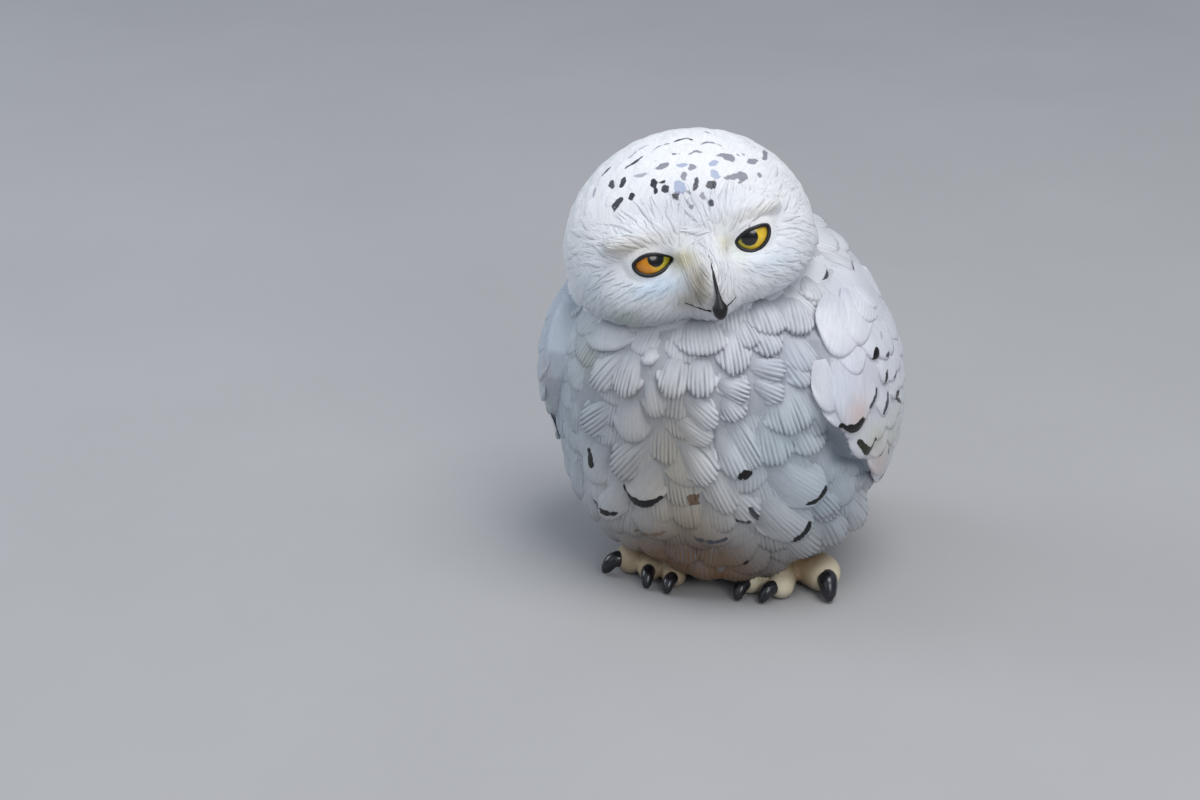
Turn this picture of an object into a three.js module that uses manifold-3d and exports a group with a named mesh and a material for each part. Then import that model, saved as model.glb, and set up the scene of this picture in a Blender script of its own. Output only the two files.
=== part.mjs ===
// Snowy owl figurine: a small, plump, hand-painted cast figure of a sitting snowy owl.
// Units are millimetres, +Z is up, the owl's body faces -Y and its left side is +X.
// The origin is at the middle of the bounding box, on the surface that the feet stand on.
import * as THREE from 'three';
import { mergeVertices } from 'three/addons/utils/BufferGeometryUtils.js';
import Module from 'manifold-3d';

// ---------------------------------------------------------------- driving dimensions
const GAP = 0.3;                    // clearance between neighbouring pieces

// head: a wide ball turned to the owl's left, bowed, and tipped to the owl's right
const HEAD_AT = [-4.3, -4.0, 52.6];
const HEAD_TURN = 24, HEAD_BOW = -7, HEAD_TIP = -13.7;     // degrees about Z, X, Y
const HEAD_RADII = [19.0, 17.2, 17.2];
const HEAD_CHEEK = { c: [0, -5, -2.4], r: [17.1, 12, 9.6] };
const CHIN_LEVEL = -7.7, CHIN_SLOPE = 0.16;

// eyes and bill, in the head's own frame (it looks along -Y)
const EYE_X = 7.5, EYE_Y = -11.0, EYE_Z = 2.2, EYE_R = 4.2;
const BILL_ROOT = [0.4, -16.6, -0.6], BILL_BEND = [0.3, -20.6, -2.8], BILL_TIP = [0.1, -19.7, -6.9];
const BILL_ROOT_R = 0.9, BILL_TIP_R = 1.15;

// trunk
const BELLY = { c: [0.2, 1.1, 27.2], r: [27.0, 24.4, 24.8] };
const NECK = { c: [0, 8, 43.4], r: [19.5, 13.5, 14.3] };
const VENT = { c: [0, -2, 14], r: [21.2, 16.1, 12.4] };
const BREAST = { c: [0, -5.5, 37.5], r: [19.7, 17.2, 11.8] };
const FLANK = { c: [10.5, -7.5, 33], r: [12.3, 12.2, 14.8] };
const APRON = { c: [3.8, -7.5, 7.6], r: [9.4, 8.8, 6.6] };      // low front of the belly, hanging between the feet
const BELLY_LEVEL = 1.8;            // height of the underside

// wings: a folded shell lying in a shallow seat on each side of the trunk
const WING = { c: [16.3, -1.5, 32.5], r: [11.8, 17.4, 17.3], tilt: -12 };
const PRIMARIES = { c: [14.0, 17.2, 15.4], r: [6.2, 17.0, 7.6], sweep: 29, dip: -29 };
const WING_PROUD = 0.7, WING_SEAT = 2.0;
// outline of the folded wing seen from the side: [toward the back, up]
const WING_EDGE = [[-7, 47.6], [-14, 44], [-17.6, 37], [-17.4, 32.5], [-14.5, 28], [-13.2, 25.4], [-9.4, 23.4],
  [-6.8, 20.6], [-2.4, 19.6], [0.6, 16.8], [5.4, 16.0], [8.6, 13.0], [13.4, 12.0], [16.8, 9.2], [21.4, 8.2],
  [27, 5.4], [31.6, 5.4], [30.0, 10.5], [25.6, 18.5], [21.4, 29], [17.0, 39], [11.0, 46], [3.0, 49.6]];
const RIGHT_SET_BACK = 3.4;         // the right wing lies this much further back at its front edge
const WING_EDGE_RIGHT = WING_EDGE.map(([a, b]) => [a + RIGHT_SET_BACK * Math.min(1, Math.max(0, (-5 - a) / 8)), b]);

// tail: a short fan of blunt feathers
const TAIL_LENGTH = 20.5, TAIL_WIDTH = 22, TAIL_THICK = 2.6, TAIL_FEATHERS = 5;
const TAIL_ROOT = [0, 17.0, 10.2], TAIL_DROOP = 21;

// feet: [from, to, radius at start, radius at end] for every toe, then the claw's base, tip and radius
const FOOT_LEFT = {
  shank: { c: [12.6, -2.6, 3.9], r: [4.6, 4.8, 4.2] },
  toes: [
    { a: [12.6, -4.0, 3.4], b: [18.3, -6.0, 2.75], ra: 2.5, rb: 2.95, claw: [[19.6, -8.1, 3.0], [20.8, -10.7, 0.25], 1.55] },
    { a: [12.6, -4.5, 3.0], b: [13.1, -10.6, 1.85], ra: 2.4, rb: 2.0, claw: [[12.1, -12.1, 2.1], [10.9, -14.3, 0.25], 1.15] },
    { a: [11.6, -4.0, 3.0], b: [8.3, -10.6, 1.9], ra: 2.3, rb: 2.0, claw: [[7.8, -12.2, 2.2], [7.2, -14.7, 0.25], 1.1] },
    { a: [12.6, -2.0, 3.0], b: [13.2, 4.4, 1.8], ra: 2.4, rb: 1.95, claw: [[13.4, 6.1, 2.1], [13.7, 8.6, 0.25], 1.1] },
  ],
};
const FOOT_RIGHT = {
  shank: { c: [-7.8, -3.4, 3.9], r: [4.5, 4.7, 4.2] },
  toes: [
    { a: [-8.0, -4.5, 3.2], b: [-11.2, -9.6, 2.35], ra: 2.4, rb: 2.5, claw: [[-12.8, -10.9, 2.6], [-14.9, -12.2, 0.25], 1.3] },
    { a: [-7.8, -4.8, 3.0], b: [-7.6, -11.2, 1.9], ra: 2.3, rb: 2.05, claw: [[-7.4, -12.8, 2.2], [-7.0, -15.3, 0.25], 1.1] },
    { a: [-7.2, -4.6, 3.0], b: [-3.5, -12.2, 1.75], ra: 2.3, rb: 1.9, claw: [[-3.4, -13.7, 2.0], [-3.6, -16.1, 0.25], 1.05] },
    { a: [-7.8, -3.0, 3.0], b: [-8.6, 3.8, 1.8], ra: 2.4, rb: 1.95, claw: [[-8.8, 5.5, 2.1], [-9.1, 8.0, 0.25], 1.1] },
  ],
};

// ---------------------------------------------------------------- materials
const paint = (name, color, roughness, metalness = 0) => {
  const m = new THREE.MeshStandardMaterial({ color, roughness, metalness });
  m.name = name;
  return m;
};
const WHITE = 0xe3e6ec, WING_WHITE = 0xe6e5ea, CREAM = 0xd6cfbf, AMBER = 0xc08a1c, BLACK = 0x17161b;

// ---------------------------------------------------------------- smooth shapes as distance functions
const rad = THREE.MathUtils.degToRad;
const ellipsoid = (x, y, z, c, r) => {
  const a = (x - c[0]) / r[0], b = (y - c[1]) / r[1], d = (z - c[2]) / r[2];
  const k0 = Math.hypot(a, b, d), k1 = Math.hypot(a / r[0], b / r[1], d / r[2]);
  return k0 * (k0 - 1) / Math.max(k1, 1e-9);
};
const blend = (a, b, k) => {
  const h = Math.min(Math.max(0.5 + 0.5 * (b - a) / k, 0), 1);
  return b * (1 - h) + a * h - k * h * (1 - h);
};
const carve = (a, b, k) => -blend(-a, -b, k);
const turned = (rx, ry, rz, order) => {
  const m = new THREE.Matrix4().makeRotationFromEuler(new THREE.Euler(rad(rx), rad(ry), rad(rz), order));
  const e = m.elements;      // columns are the turned axes
  return (x, y, z) => [x * e[0] + y * e[1] + z * e[2], x * e[4] + y * e[5] + z * e[6], x * e[8] + y * e[9] + z * e[10]];
};

// head in its own frame: skull, cheeks, flat chin, hollows for the eyes, brows and the bristled wedge over the bill
const headShape = (x, y, z) => {
  let d = ellipsoid(x, y, z, [0, 1.5, 0], HEAD_RADII);
  d = blend(d, ellipsoid(x, y, z, HEAD_CHEEK.c, HEAD_CHEEK.r), 4);
  d = carve(d, -(z - CHIN_LEVEL) + CHIN_SLOPE * (y + 10), 5);
  const ax = Math.abs(x);
  d = blend(d, ellipsoid(x, y, z, [0.2, -14.9, -2.5], [3.3, 4.9, 5.2]), 2.6);      // wedge over the bill
  d = blend(d, ellipsoid(ax, y, z, [6.4, -11.9, 5.7], [6.6, 2.9, 1.9]), 2.2);      // brows
  d = blend(d, ellipsoid(ax, y, z, [8.2, -11.0, -2.8], [5.6, 4.4, 3.2]), 3.0);     // pads under the eyes
  d = carve(d, -ellipsoid(ax, y, z, [7.5, -16.6, 1.9], [3.9, 2.3, 2.3]), 1.2);     // hollows of the eyes
  return d;
};
const trunkShape = (x, y, z) => {
  let d = ellipsoid(x, y, z, BELLY.c, BELLY.r);
  d = blend(d, ellipsoid(x, y, z, NECK.c, NECK.r), 8);
  d = blend(d, ellipsoid(x, y, z, VENT.c, VENT.r), 7);
  d = blend(d, ellipsoid(x, y, z, APRON.c, APRON.r), 3.5);
  d = blend(d, ellipsoid(x, y, z, BREAST.c, BREAST.r), 6);
  d = blend(d, ellipsoid(Math.abs(x), y, z, FLANK.c, FLANK.r), 4);
  return carve(d, BELLY_LEVEL - z, 2);
};
const toWing = turned(WING.tilt, 0, 0, 'XYZ');
const toPrimaries = turned(PRIMARIES.dip, 0, PRIMARIES.sweep, 'ZXY');
const wingShape = (x, y, z) => {
  const ax = Math.abs(x);
  const p = toWing(ax - WING.c[0], y - WING.c[1], z - WING.c[2]);
  const q = toPrimaries(ax - PRIMARIES.c[0], y - PRIMARIES.c[1], z - PRIMARIES.c[2]);
  const d = blend(ellipsoid(...p, [0, 0, 0], WING.r), ellipsoid(...q, [0, 0, 0], PRIMARIES.r), 5);
  return blend(d, trunkShape(x, y, z) - WING_PROUD, 1.5);
};

// closed surface of a shape seen from a point inside it, at a given height above the shape
function surface(shape, centre, detail, height = 0, reach = 60, crowd = 0) {
  const g = new THREE.IcosahedronGeometry(1, detail);
  const p = g.attributes.position;
  for (let i = 0; i < p.count; i++) {
    const u = new THREE.Vector3().fromBufferAttribute(p, i).normalize();
    if (crowd) {      // the face gets finer facets than the back
      const a = Math.acos(THREE.MathUtils.clamp(-u.y, -1, 1)), b = a - crowd * Math.sin(a);
      const s = Math.hypot(u.x, u.z);
      if (s > 1e-9) u.set(u.x / s * Math.sin(b), -Math.cos(b), u.z / s * Math.sin(b));
    }
    let lo = 0, hi = reach;
    // walk in from outside to the first crossing, then halve
    let s = reach;
    for (let n = 0; n < 400; n++) {
      const d = shape(centre[0] + u.x * s, centre[1] + u.y * s, centre[2] + u.z * s) - height;
      if (d <= 0) { lo = s; break; }
      hi = s;
      s -= Math.max(d * 0.7, 0.05);
      if (s <= 0) break;
    }
    for (let n = 0; n < 30; n++) {
      const m = (lo + hi) / 2;
      const d = shape(centre[0] + u.x * m, centre[1] + u.y * m, centre[2] + u.z * m) - height;
      if (d <= 0) lo = m; else hi = m;
    }
    p.setXYZ(i, centre[0] + u.x * lo, centre[1] + u.y * lo, centre[2] + u.z * lo);
  }
  return g;
}

// ---------------------------------------------------------------- joins and cuts
const wasm = await Module();
wasm.setup();
function solid(geometry, matrix) {
  let g = geometry.clone();
  for (const name of Object.keys(g.attributes)) if (name !== 'position') g.deleteAttribute(name);
  if (matrix) g.applyMatrix4(matrix);
  g = mergeVertices(g, 1e-4);
  const src = g.index.array, tri = [];
  for (let i = 0; i < src.length; i += 3) {
    const [a, b, c] = [src[i], src[i + 1], src[i + 2]];
    if (a !== b && b !== c && c !== a) tri.push(a, b, c);
  }
  return new wasm.Manifold(new wasm.Mesh({
    numProp: 3, vertProperties: Float32Array.from(g.attributes.position.array), triVerts: Uint32Array.from(tri),
  }));
}
// the largest body of a cut shape
function largest(man) {
  const parts = man.decompose();
  let best = parts[0];
  for (const q of parts) if (q.volume() > best.volume()) best = q;
  return best;
}
function geometry(man) {
  const m = man.getMesh();
  const g = new THREE.BufferGeometry();
  g.setAttribute('position', new THREE.BufferAttribute(new Float32Array(m.vertProperties), 3));
  g.setIndex(new THREE.BufferAttribute(new Uint32Array(m.triVerts), 1));
  g.computeVertexNormals();
  return g;
}
const mirrored = (g) => {
  const out = g.clone().applyMatrix4(new THREE.Matrix4().makeScale(-1, 1, 1));
  const idx = out.index.array;
  for (let i = 0; i < idx.length; i += 3) [idx[i], idx[i + 1]] = [idx[i + 1], idx[i]];
  return out;
};

// ---------------------------------------------------------------- simple solids
// a rounded rod between two points, from one radius to another
function rod(a, b, ra, rb, sides = 6) {
  const A = new THREE.Vector3(...a), B = new THREE.Vector3(...b);
  const L = A.distanceTo(B), profile = [];
  for (let i = 0; i <= 3; i++) { const t = -Math.PI / 2 + i * Math.PI / 6; profile.push(new THREE.Vector2(Math.cos(t) * ra * (i ? 1 : 0), Math.sin(t) * ra)); }
  for (let i = 0; i <= 3; i++) { const t = i * Math.PI / 6; profile.push(new THREE.Vector2(Math.cos(t) * rb * (i < 3 ? 1 : 0), L + Math.sin(t) * rb)); }
  const g = new THREE.LatheGeometry(profile, sides);
  g.applyQuaternion(new THREE.Quaternion().setFromUnitVectors(new THREE.Vector3(0, 1, 0), B.clone().sub(A).normalize()));
  return g.translate(...a);
}
const ball = (c, r, detail = 3) => new THREE.IcosahedronGeometry(1, detail).scale(...r).translate(...c);

// a claw: round sections that thin toward a tip that curls down
function claw(base, tip, radius, grow = 0, sides = 8, rings = 4) {
  const A = new THREE.Vector3(...base), B = new THREE.Vector3(...tip);
  const M = A.clone().lerp(B, 0.55); M.z = Math.max(A.z, M.z) + 0.15;     // the bend stays high
  const curve = new THREE.QuadraticBezierCurve3(A, M, B);
  const pos = [], idx = [];
  const side = new THREE.Vector3(0, 0, 1).cross(B.clone().sub(A)).normalize();
  for (let i = 0; i <= rings; i++) {
    const t = i / rings, c = curve.getPoint(t * 0.97), T = curve.getTangent(t * 0.97).normalize();
    const up = T.clone().cross(side).normalize().negate();
    const r = radius * (1 - 0.82 * Math.pow(t, 1.5)) + grow;
    const q = c.clone();
    if (i === 0) q.addScaledVector(T, -grow);
    for (let k = 0; k < sides; k++) {
      const a = 2 * Math.PI * k / sides;
      const v = q.clone().addScaledVector(side, Math.cos(a) * r * 0.92).addScaledVector(up, Math.sin(a) * r);
      pos.push(v.x, v.y, v.z);
    }
  }
  const n = rings + 1;
  const cap0 = pos.length / 3; const c0 = curve.getPoint(0).addScaledVector(curve.getTangent(0), -grow); pos.push(c0.x, c0.y, c0.z);
  const cap1 = cap0 + 1; const c1 = curve.getPoint(1); pos.push(c1.x, c1.y, c1.z - grow);
  for (let i = 0; i < n - 1; i++) for (let k = 0; k < sides; k++) {
    const a = i * sides + k, b = i * sides + (k + 1) % sides, c = a + sides, d = b + sides;
    idx.push(a, d, b, a, c, d);
  }
  for (let k = 0; k < sides; k++) {
    idx.push(cap0, k, (k + 1) % sides);
    idx.push(cap1, (n - 1) * sides + (k + 1) % sides, (n - 1) * sides + k);
  }
  const g = new THREE.BufferGeometry();
  g.setAttribute('position', new THREE.Float32BufferAttribute(pos, 3));
  g.setIndex(idx);
  g.computeVertexNormals();
  return g;
}

// ---------------------------------------------------------------- head, eyes and bill
const headMatrix = new THREE.Matrix4().compose(
  new THREE.Vector3(...HEAD_AT),
  new THREE.Quaternion().setFromEuler(new THREE.Euler(rad(HEAD_BOW), rad(HEAD_TIP), rad(HEAD_TURN), 'ZXY')),
  new THREE.Vector3(1, 1, 1));
const headBlank = surface(headShape, [0, -2, 1], 7, 0, 60, 0.5);
const headGrown = surface(headShape, [0, -2, 1], 7, GAP, 60, 0.5);
const eyeBall = (s, grow) => ball([s * EYE_X, EYE_Y, EYE_Z], [EYE_R + grow, EYE_R + grow, EYE_R + grow], 2);
function billBlank(grow) {
  // round sections along a ridge that curls down to the tip
  const R = new THREE.Vector3(...BILL_ROOT), T = new THREE.Vector3(...BILL_TIP);
  const M = new THREE.Vector3(...BILL_BEND);
  const curve = new THREE.QuadraticBezierCurve3(R, M, T);
  const pos = [], idx = [], sides = 10, rings = 6;
  for (let i = 0; i <= rings; i++) {
    const t = i / rings, c = curve.getPoint(t), tan = curve.getTangent(t).normalize();
    const sx = new THREE.Vector3(1, 0, 0), up = sx.clone().cross(tan).normalize();
    const r = THREE.MathUtils.lerp(BILL_ROOT_R, BILL_TIP_R, Math.pow(t, 0.8)) + grow;
    if (i === 0) c.addScaledVector(tan, -grow);
    for (let k = 0; k < sides; k++) {
      const a = 2 * Math.PI * k / sides;
      const v = c.clone().addScaledVector(sx, Math.cos(a) * r).addScaledVector(up, Math.sin(a) * r * 1.05);
      pos.push(v.x, v.y, v.z);
    }
  }
  const n = rings + 1, cap0 = pos.length / 3;
  const c0 = curve.getPoint(0).addScaledVector(curve.getTangent(0), -grow); pos.push(c0.x, c0.y, c0.z);
  const c1 = curve.getPoint(1).addScaledVector(curve.getTangent(1), 0.7 + grow); pos.push(c1.x, c1.y, c1.z);
  for (let i = 0; i < n - 1; i++) for (let k = 0; k < sides; k++) {
    const a = i * sides + k, b = i * sides + (k + 1) % sides, c = a + sides, d = b + sides;
    idx.push(a, d, b, a, c, d);
  }
  for (let k = 0; k < sides; k++) {
    idx.push(cap0, k, (k + 1) % sides);
    idx.push(cap0 + 1, (n - 1) * sides + (k + 1) % sides, (n - 1) * sides + k);
  }
  const g = new THREE.BufferGeometry();
  g.setAttribute('position', new THREE.Float32BufferAttribute(pos, 3));
  g.setIndex(idx);
  return g;
}
const headSolid = largest(solid(headBlank)
  .subtract(solid(eyeBall(1, GAP))).subtract(solid(eyeBall(-1, GAP)))
  .subtract(solid(billBlank(GAP))));

// ---------------------------------------------------------------- trunk, wings and tail
const CORE = [0, 1.5, 26];
const trunkSkin = solid(surface(trunkShape, CORE, 6));
const trunkGrown = solid(surface(trunkShape, CORE, 6, GAP));
const trunkSeat = solid(surface(trunkShape, CORE, 5, -WING_SEAT));
const trunkSeatLow = solid(surface(trunkShape, CORE, 5, -WING_SEAT - GAP));
const wingSkin = solid(surface(wingShape, CORE, 9));
const headCut = solid(headGrown, headMatrix);

// side outline of the folded wing as a prism that reaches out from near the middle plane
function wingPrism(grow, edge) {
  const knots = edge.map(([a, b]) => new THREE.Vector3(a, b, 0));
  const curve = new THREE.CatmullRomCurve3(knots, true, 'centripetal');
  const pts = curve.getPoints(48).slice(0, -1);
  const shape = new THREE.Shape();
  const n = pts.length;
  pts.forEach((p, i) => {
    const t = pts[(i + 1) % n].clone().sub(pts[(i + n - 1) % n]).normalize();
    const q = new THREE.Vector2(p.x - t.y * grow, p.y + t.x * grow);    // the edge runs so that this side is outside
    if (i === 0) shape.moveTo(q.x, q.y); else shape.lineTo(q.x, q.y);
  });
  shape.closePath();
  const g = new THREE.ExtrudeGeometry(shape, { depth: 40, bevelEnabled: false, steps: 1 });
  // shape axes (back, up, out) become (Y, Z, X)
  g.applyMatrix4(new THREE.Matrix4().set(0, 0, 1, 3.0 - Math.abs(grow), 1, 0, 0, 0, 0, 1, 0, 0, 0, 0, 0, 1));
  return g;
}
const edgeTurn = Math.sign(WING_EDGE.reduce((s, [a, b], i) => {
  const [c, d] = WING_EDGE[(i + 1) % WING_EDGE.length]; return s + a * d - b * c;
}, 0));
const prism = solid(wingPrism(0, WING_EDGE));
const prismGrown = solid(wingPrism(-edgeTurn * GAP, WING_EDGE));

// tail: a fan of blunt feathers with a scalloped end
function tailBlank(grow) {
  const shape = new THREE.Shape();
  const half = TAIL_WIDTH / 2 + grow, root = half * 0.62, L = TAIL_LENGTH + grow;
  shape.moveTo(-root, -grow);
  shape.lineTo(-half, L * 0.72);
  const N = TAIL_FEATHERS;
  for (let i = 0; i < N; i++) {
    const a0 = -half + (2 * half) * i / N, a1 = -half + (2 * half) * (i + 1) / N, m = (a0 + a1) / 2;
    const drop = (x) => L * (0.93 - 0.2 * (x / half) ** 2);
    for (let k = 1; k <= 4; k++) {
      const t = k / 4, x = a0 + (a1 - a0) * t;
      shape.lineTo(x, drop(m) + 0.07 * L * Math.sin(Math.PI * t) * (k < 4 ? 1 : 0));
    }
  }
  shape.lineTo(half, L * 0.72);
  shape.lineTo(root, -grow);
  shape.closePath();
  const g = new THREE.ExtrudeGeometry(shape, { depth: TAIL_THICK + 2 * grow, bevelEnabled: false, steps: 1 });
  g.translate(0, 0, -TAIL_THICK / 2 - grow);
  // arch the fan a little across its width
  const p = g.attributes.position;
  for (let i = 0; i < p.count; i++) p.setZ(i, p.getZ(i) - 0.022 * p.getX(i) ** 2);
  g.rotateX(rad(-TAIL_DROOP));
  g.translate(...TAIL_ROOT);
  return g;
}
const tailSolid = largest(solid(tailBlank(0)).subtract(trunkGrown));
const tailCut = solid(tailBlank(GAP));
const wingSolid = largest(wingSkin.intersect(prism).subtract(trunkSeat).subtract(headCut).subtract(tailCut));
const wingGeo = geometry(wingSolid);
const prismOther = solid(mirrored(geometry(solid(wingPrism(0, WING_EDGE_RIGHT)))));
const wingRight = largest(wingSkin.intersect(prismOther).subtract(trunkSeat).subtract(headCut).subtract(tailCut));
const prismGrownOther = solid(mirrored(geometry(solid(wingPrism(-edgeTurn * GAP, WING_EDGE_RIGHT)))));

// ---------------------------------------------------------------- feet
const FLOOR = new THREE.BoxGeometry(120, 120, 20).translate(0, 0, -10);
function foot(spec) {
  let s = solid(ball(spec.shank.c, spec.shank.r, 2));
  for (const t of spec.toes) {
    s = s.add(solid(rod(t.a, t.b, t.ra, t.rb)));
    s = s.add(solid(ball([t.b[0], t.b[1], t.b[2]], [t.rb * 1.1, t.rb * 1.1, t.rb * 1.06], 1)));
  }
  s = s.subtract(solid(FLOOR));
  for (const t of spec.toes) s = s.subtract(solid(claw(t.claw[0], t.claw[1], t.claw[2], GAP)));
  return s;
}
const footLeft = largest(foot(FOOT_LEFT).subtract(trunkGrown));
const footRight = largest(foot(FOOT_RIGHT).subtract(trunkGrown));
const clawSolid = (t) => largest(solid(claw(t.claw[0], t.claw[1], t.claw[2])).subtract(solid(FLOOR.clone().translate(0, 0, 0.02))).subtract(trunkGrown));

// the trunk keeps a seat under each wing and a bowl under the head
let trunkSolid = trunkSkin.subtract(prismGrown).subtract(prismGrownOther).add(trunkSeatLow);
trunkSolid = largest(trunkSolid.subtract(headCut));

// ---------------------------------------------------------------- the figure
const owl = new THREE.Group();
owl.name = 'snowy_owl_figurine';
const figure = new THREE.Group();
owl.add(figure);
const add = (parent, name, geo, material) => {
  const mesh = new THREE.Mesh(geo, material);
  mesh.name = name;
  parent.add(mesh);
  return mesh;
};

const headGroup = new THREE.Group();
headGroup.position.set(...HEAD_AT);
headGroup.rotation.set(rad(HEAD_BOW), rad(HEAD_TIP), rad(HEAD_TURN), 'ZXY');
figure.add(headGroup);
add(headGroup, 'head', geometry(headSolid), paint('white', WHITE, 0.6));
const eye = (s, name) => {
  const m = add(headGroup, name, new THREE.IcosahedronGeometry(EYE_R, 2), paint('amber_eye', AMBER, 0.08));
  m.position.set(s * EYE_X, EYE_Y, EYE_Z);
};
eye(1, 'eye_left');
eye(-1, 'eye_right');
add(headGroup, 'bill', geometry(solid(billBlank(0))), paint('black_horn', BLACK, 0.25));

add(figure, 'trunk', geometry(trunkSolid), paint('white', WHITE, 0.6));
add(figure, 'wing_left', wingGeo, paint('wing_white', WING_WHITE, 0.55));
add(figure, 'wing_right', geometry(wingRight), paint('wing_white', WING_WHITE, 0.55));
add(figure, 'tail', geometry(tailSolid), paint('wing_white', WING_WHITE, 0.55));
add(figure, 'foot_left', geometry(footLeft), paint('cream', CREAM, 0.6));
add(figure, 'foot_right', geometry(footRight), paint('cream', CREAM, 0.6));
FOOT_LEFT.toes.forEach((t, i) => add(figure, `claw_left_${i + 1}`, geometry(clawSolid(t)), paint('black_horn', BLACK, 0.25)));
FOOT_RIGHT.toes.forEach((t, i) => add(figure, `claw_right_${i + 1}`, geometry(clawSolid(t)), paint('black_horn', BLACK, 0.25)));

// stand the figure on the middle of its box
owl.updateMatrixWorld(true);
const box = new THREE.Box3().setFromObject(owl, true);
const mid = box.getCenter(new THREE.Vector3());
figure.position.set(-mid.x, -mid.y, -box.min.z);
owl.updateMatrixWorld(true);

export default owl;
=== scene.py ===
# Snowy owl figurine: the painted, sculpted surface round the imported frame.
# Lengths below are millimetres in the owl's own working frame (feet at z = 0, trunk about x = y = 0);
# SHIFT carries them to the frame's origin, and everything is built in metres.
import math
import bpy
import numpy as np
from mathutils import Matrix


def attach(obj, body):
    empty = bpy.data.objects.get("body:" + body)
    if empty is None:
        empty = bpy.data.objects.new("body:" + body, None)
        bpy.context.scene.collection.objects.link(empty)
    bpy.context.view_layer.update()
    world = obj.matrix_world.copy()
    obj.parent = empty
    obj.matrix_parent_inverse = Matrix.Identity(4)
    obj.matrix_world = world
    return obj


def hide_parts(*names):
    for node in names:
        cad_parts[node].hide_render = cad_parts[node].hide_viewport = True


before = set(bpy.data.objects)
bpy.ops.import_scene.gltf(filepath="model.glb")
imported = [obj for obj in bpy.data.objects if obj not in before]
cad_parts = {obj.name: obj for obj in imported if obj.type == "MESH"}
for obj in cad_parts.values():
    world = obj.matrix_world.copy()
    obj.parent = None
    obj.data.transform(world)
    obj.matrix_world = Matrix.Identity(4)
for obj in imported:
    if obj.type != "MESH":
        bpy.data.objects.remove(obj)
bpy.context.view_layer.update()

rng = np.random.default_rng(7)
SHIFT = np.array([-0.04, -6.48, 0.0])
MM = 0.001

# ------------------------------------------------------------------ shapes as distance fields (mm)
def rz(d):
    a = math.radians(d); c, s = math.cos(a), math.sin(a)
    return np.array([[c, -s, 0], [s, c, 0], [0, 0, 1.0]])
def rx(d):
    a = math.radians(d); c, s = math.cos(a), math.sin(a)
    return np.array([[1.0, 0, 0], [0, c, -s], [0, s, c]])
def ry(d):
    a = math.radians(d); c, s = math.cos(a), math.sin(a)
    return np.array([[c, 0, s], [0, 1.0, 0], [-s, 0, c]])

HEAD_AT = np.array([-4.3, -4.0, 52.6])
HEAD_R = rz(24) @ rx(-7) @ ry(-13.7)
EYE_X, EYE_Y, EYE_Z, EYE_R = 7.5, -11.0, 2.2, 4.2
CHIN_LEVEL, CHIN_SLOPE = -7.7, 0.16

def ell(x, y, z, c, r):
    a, b, d = (x - c[0]) / r[0], (y - c[1]) / r[1], (z - c[2]) / r[2]
    k0 = np.sqrt(a * a + b * b + d * d)
    k1 = np.sqrt((a / r[0]) ** 2 + (b / r[1]) ** 2 + (d / r[2]) ** 2)
    return k0 * (k0 - 1) / np.maximum(k1, 1e-9)
def blend(a, b, k):
    h = np.clip(0.5 + 0.5 * (b - a) / k, 0, 1)
    return b * (1 - h) + a * h - k * h * (1 - h)
def carve(a, b, k):
    return -blend(-a, -b, k)
def sstep(a, b, x):
    t = np.clip((x - a) / (b - a), 0, 1)
    return t * t * (3 - 2 * t)

def to_head(P): return (P - HEAD_AT) @ HEAD_R
def from_head(Q): return Q @ HEAD_R.T + HEAD_AT

# the eye openings in the head's own frame: [across, up] from each eye's centre
EYE_RIM = {
    -1: np.array([(-2.44, 0.82), (-1.48, 1.53), (-0.24, 1.83), (1.06, 1.62), (2.47, 1.05), (3.45, 0.42), (3.42, -0.28),
                  (2.42, -0.97), (1.2, -1.45), (-0.3, -1.58), (-1.6, -1.12), (-2.4, -0.15)]),
    1: np.array([(-2.45, 0.02), (-1.44, 0.97), (-0.14, 1.53), (1.25, 1.66), (2.37, 1.52), (2.98, 1.0), (2.78, -0.2),
                 (1.85, -1.35), (0.6, -2.0), (-0.65, -1.95), (-1.85, -1.15)]),
}
def rim_curve(side, n):
    # closed smooth curve through the rim points
    P = EYE_RIM[side]; m = len(P)
    t = np.arange(n) * m / n; i = t.astype(int); f = (t - i)[:, None]
    p0, p1, p2, p3 = P[(i - 1) % m], P[i % m], P[(i + 1) % m], P[(i + 2) % m]
    return 0.5 * ((2 * p1) + (-p0 + p2) * f + (2 * p0 - 5 * p1 + 4 * p2 - p3) * f ** 2 + (-p0 + 3 * p1 - 3 * p2 + p3) * f ** 3)
def poly_distance(px, pz, loop):
    # signed distance to a closed outline, negative inside
    best = np.full(px.shape, 1e9); inside = np.zeros(px.shape, bool)
    n = len(loop)
    for i in range(n):
        a, b = loop[i], loop[(i + 1) % n]
        ex, ez = b[0] - a[0], b[1] - a[1]
        wx, wz = px - a[0], pz - a[1]
        t = np.clip((wx * ex + wz * ez) / (ex * ex + ez * ez), 0, 1)
        dx, dz = wx - ex * t, wz - ez * t
        best = np.minimum(best, dx * dx + dz * dz)
        c = ((a[1] <= pz) & (b[1] > pz)) | ((b[1] <= pz) & (a[1] > pz))
        xx = a[0] + (pz - a[1]) / (ez if abs(ez) > 1e-12 else 1e-12) * ex
        inside ^= c & (px < xx)
    d = np.sqrt(best)
    return np.where(inside, -d, d)
EYE_RIM = {k: v * np.array([0.95, 0.90]) + np.array([0.0, -0.08]) for k, v in EYE_RIM.items()}
RIM_LOOP = {k: rim_curve(k, 26) for k in (-1, 1)}

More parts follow.
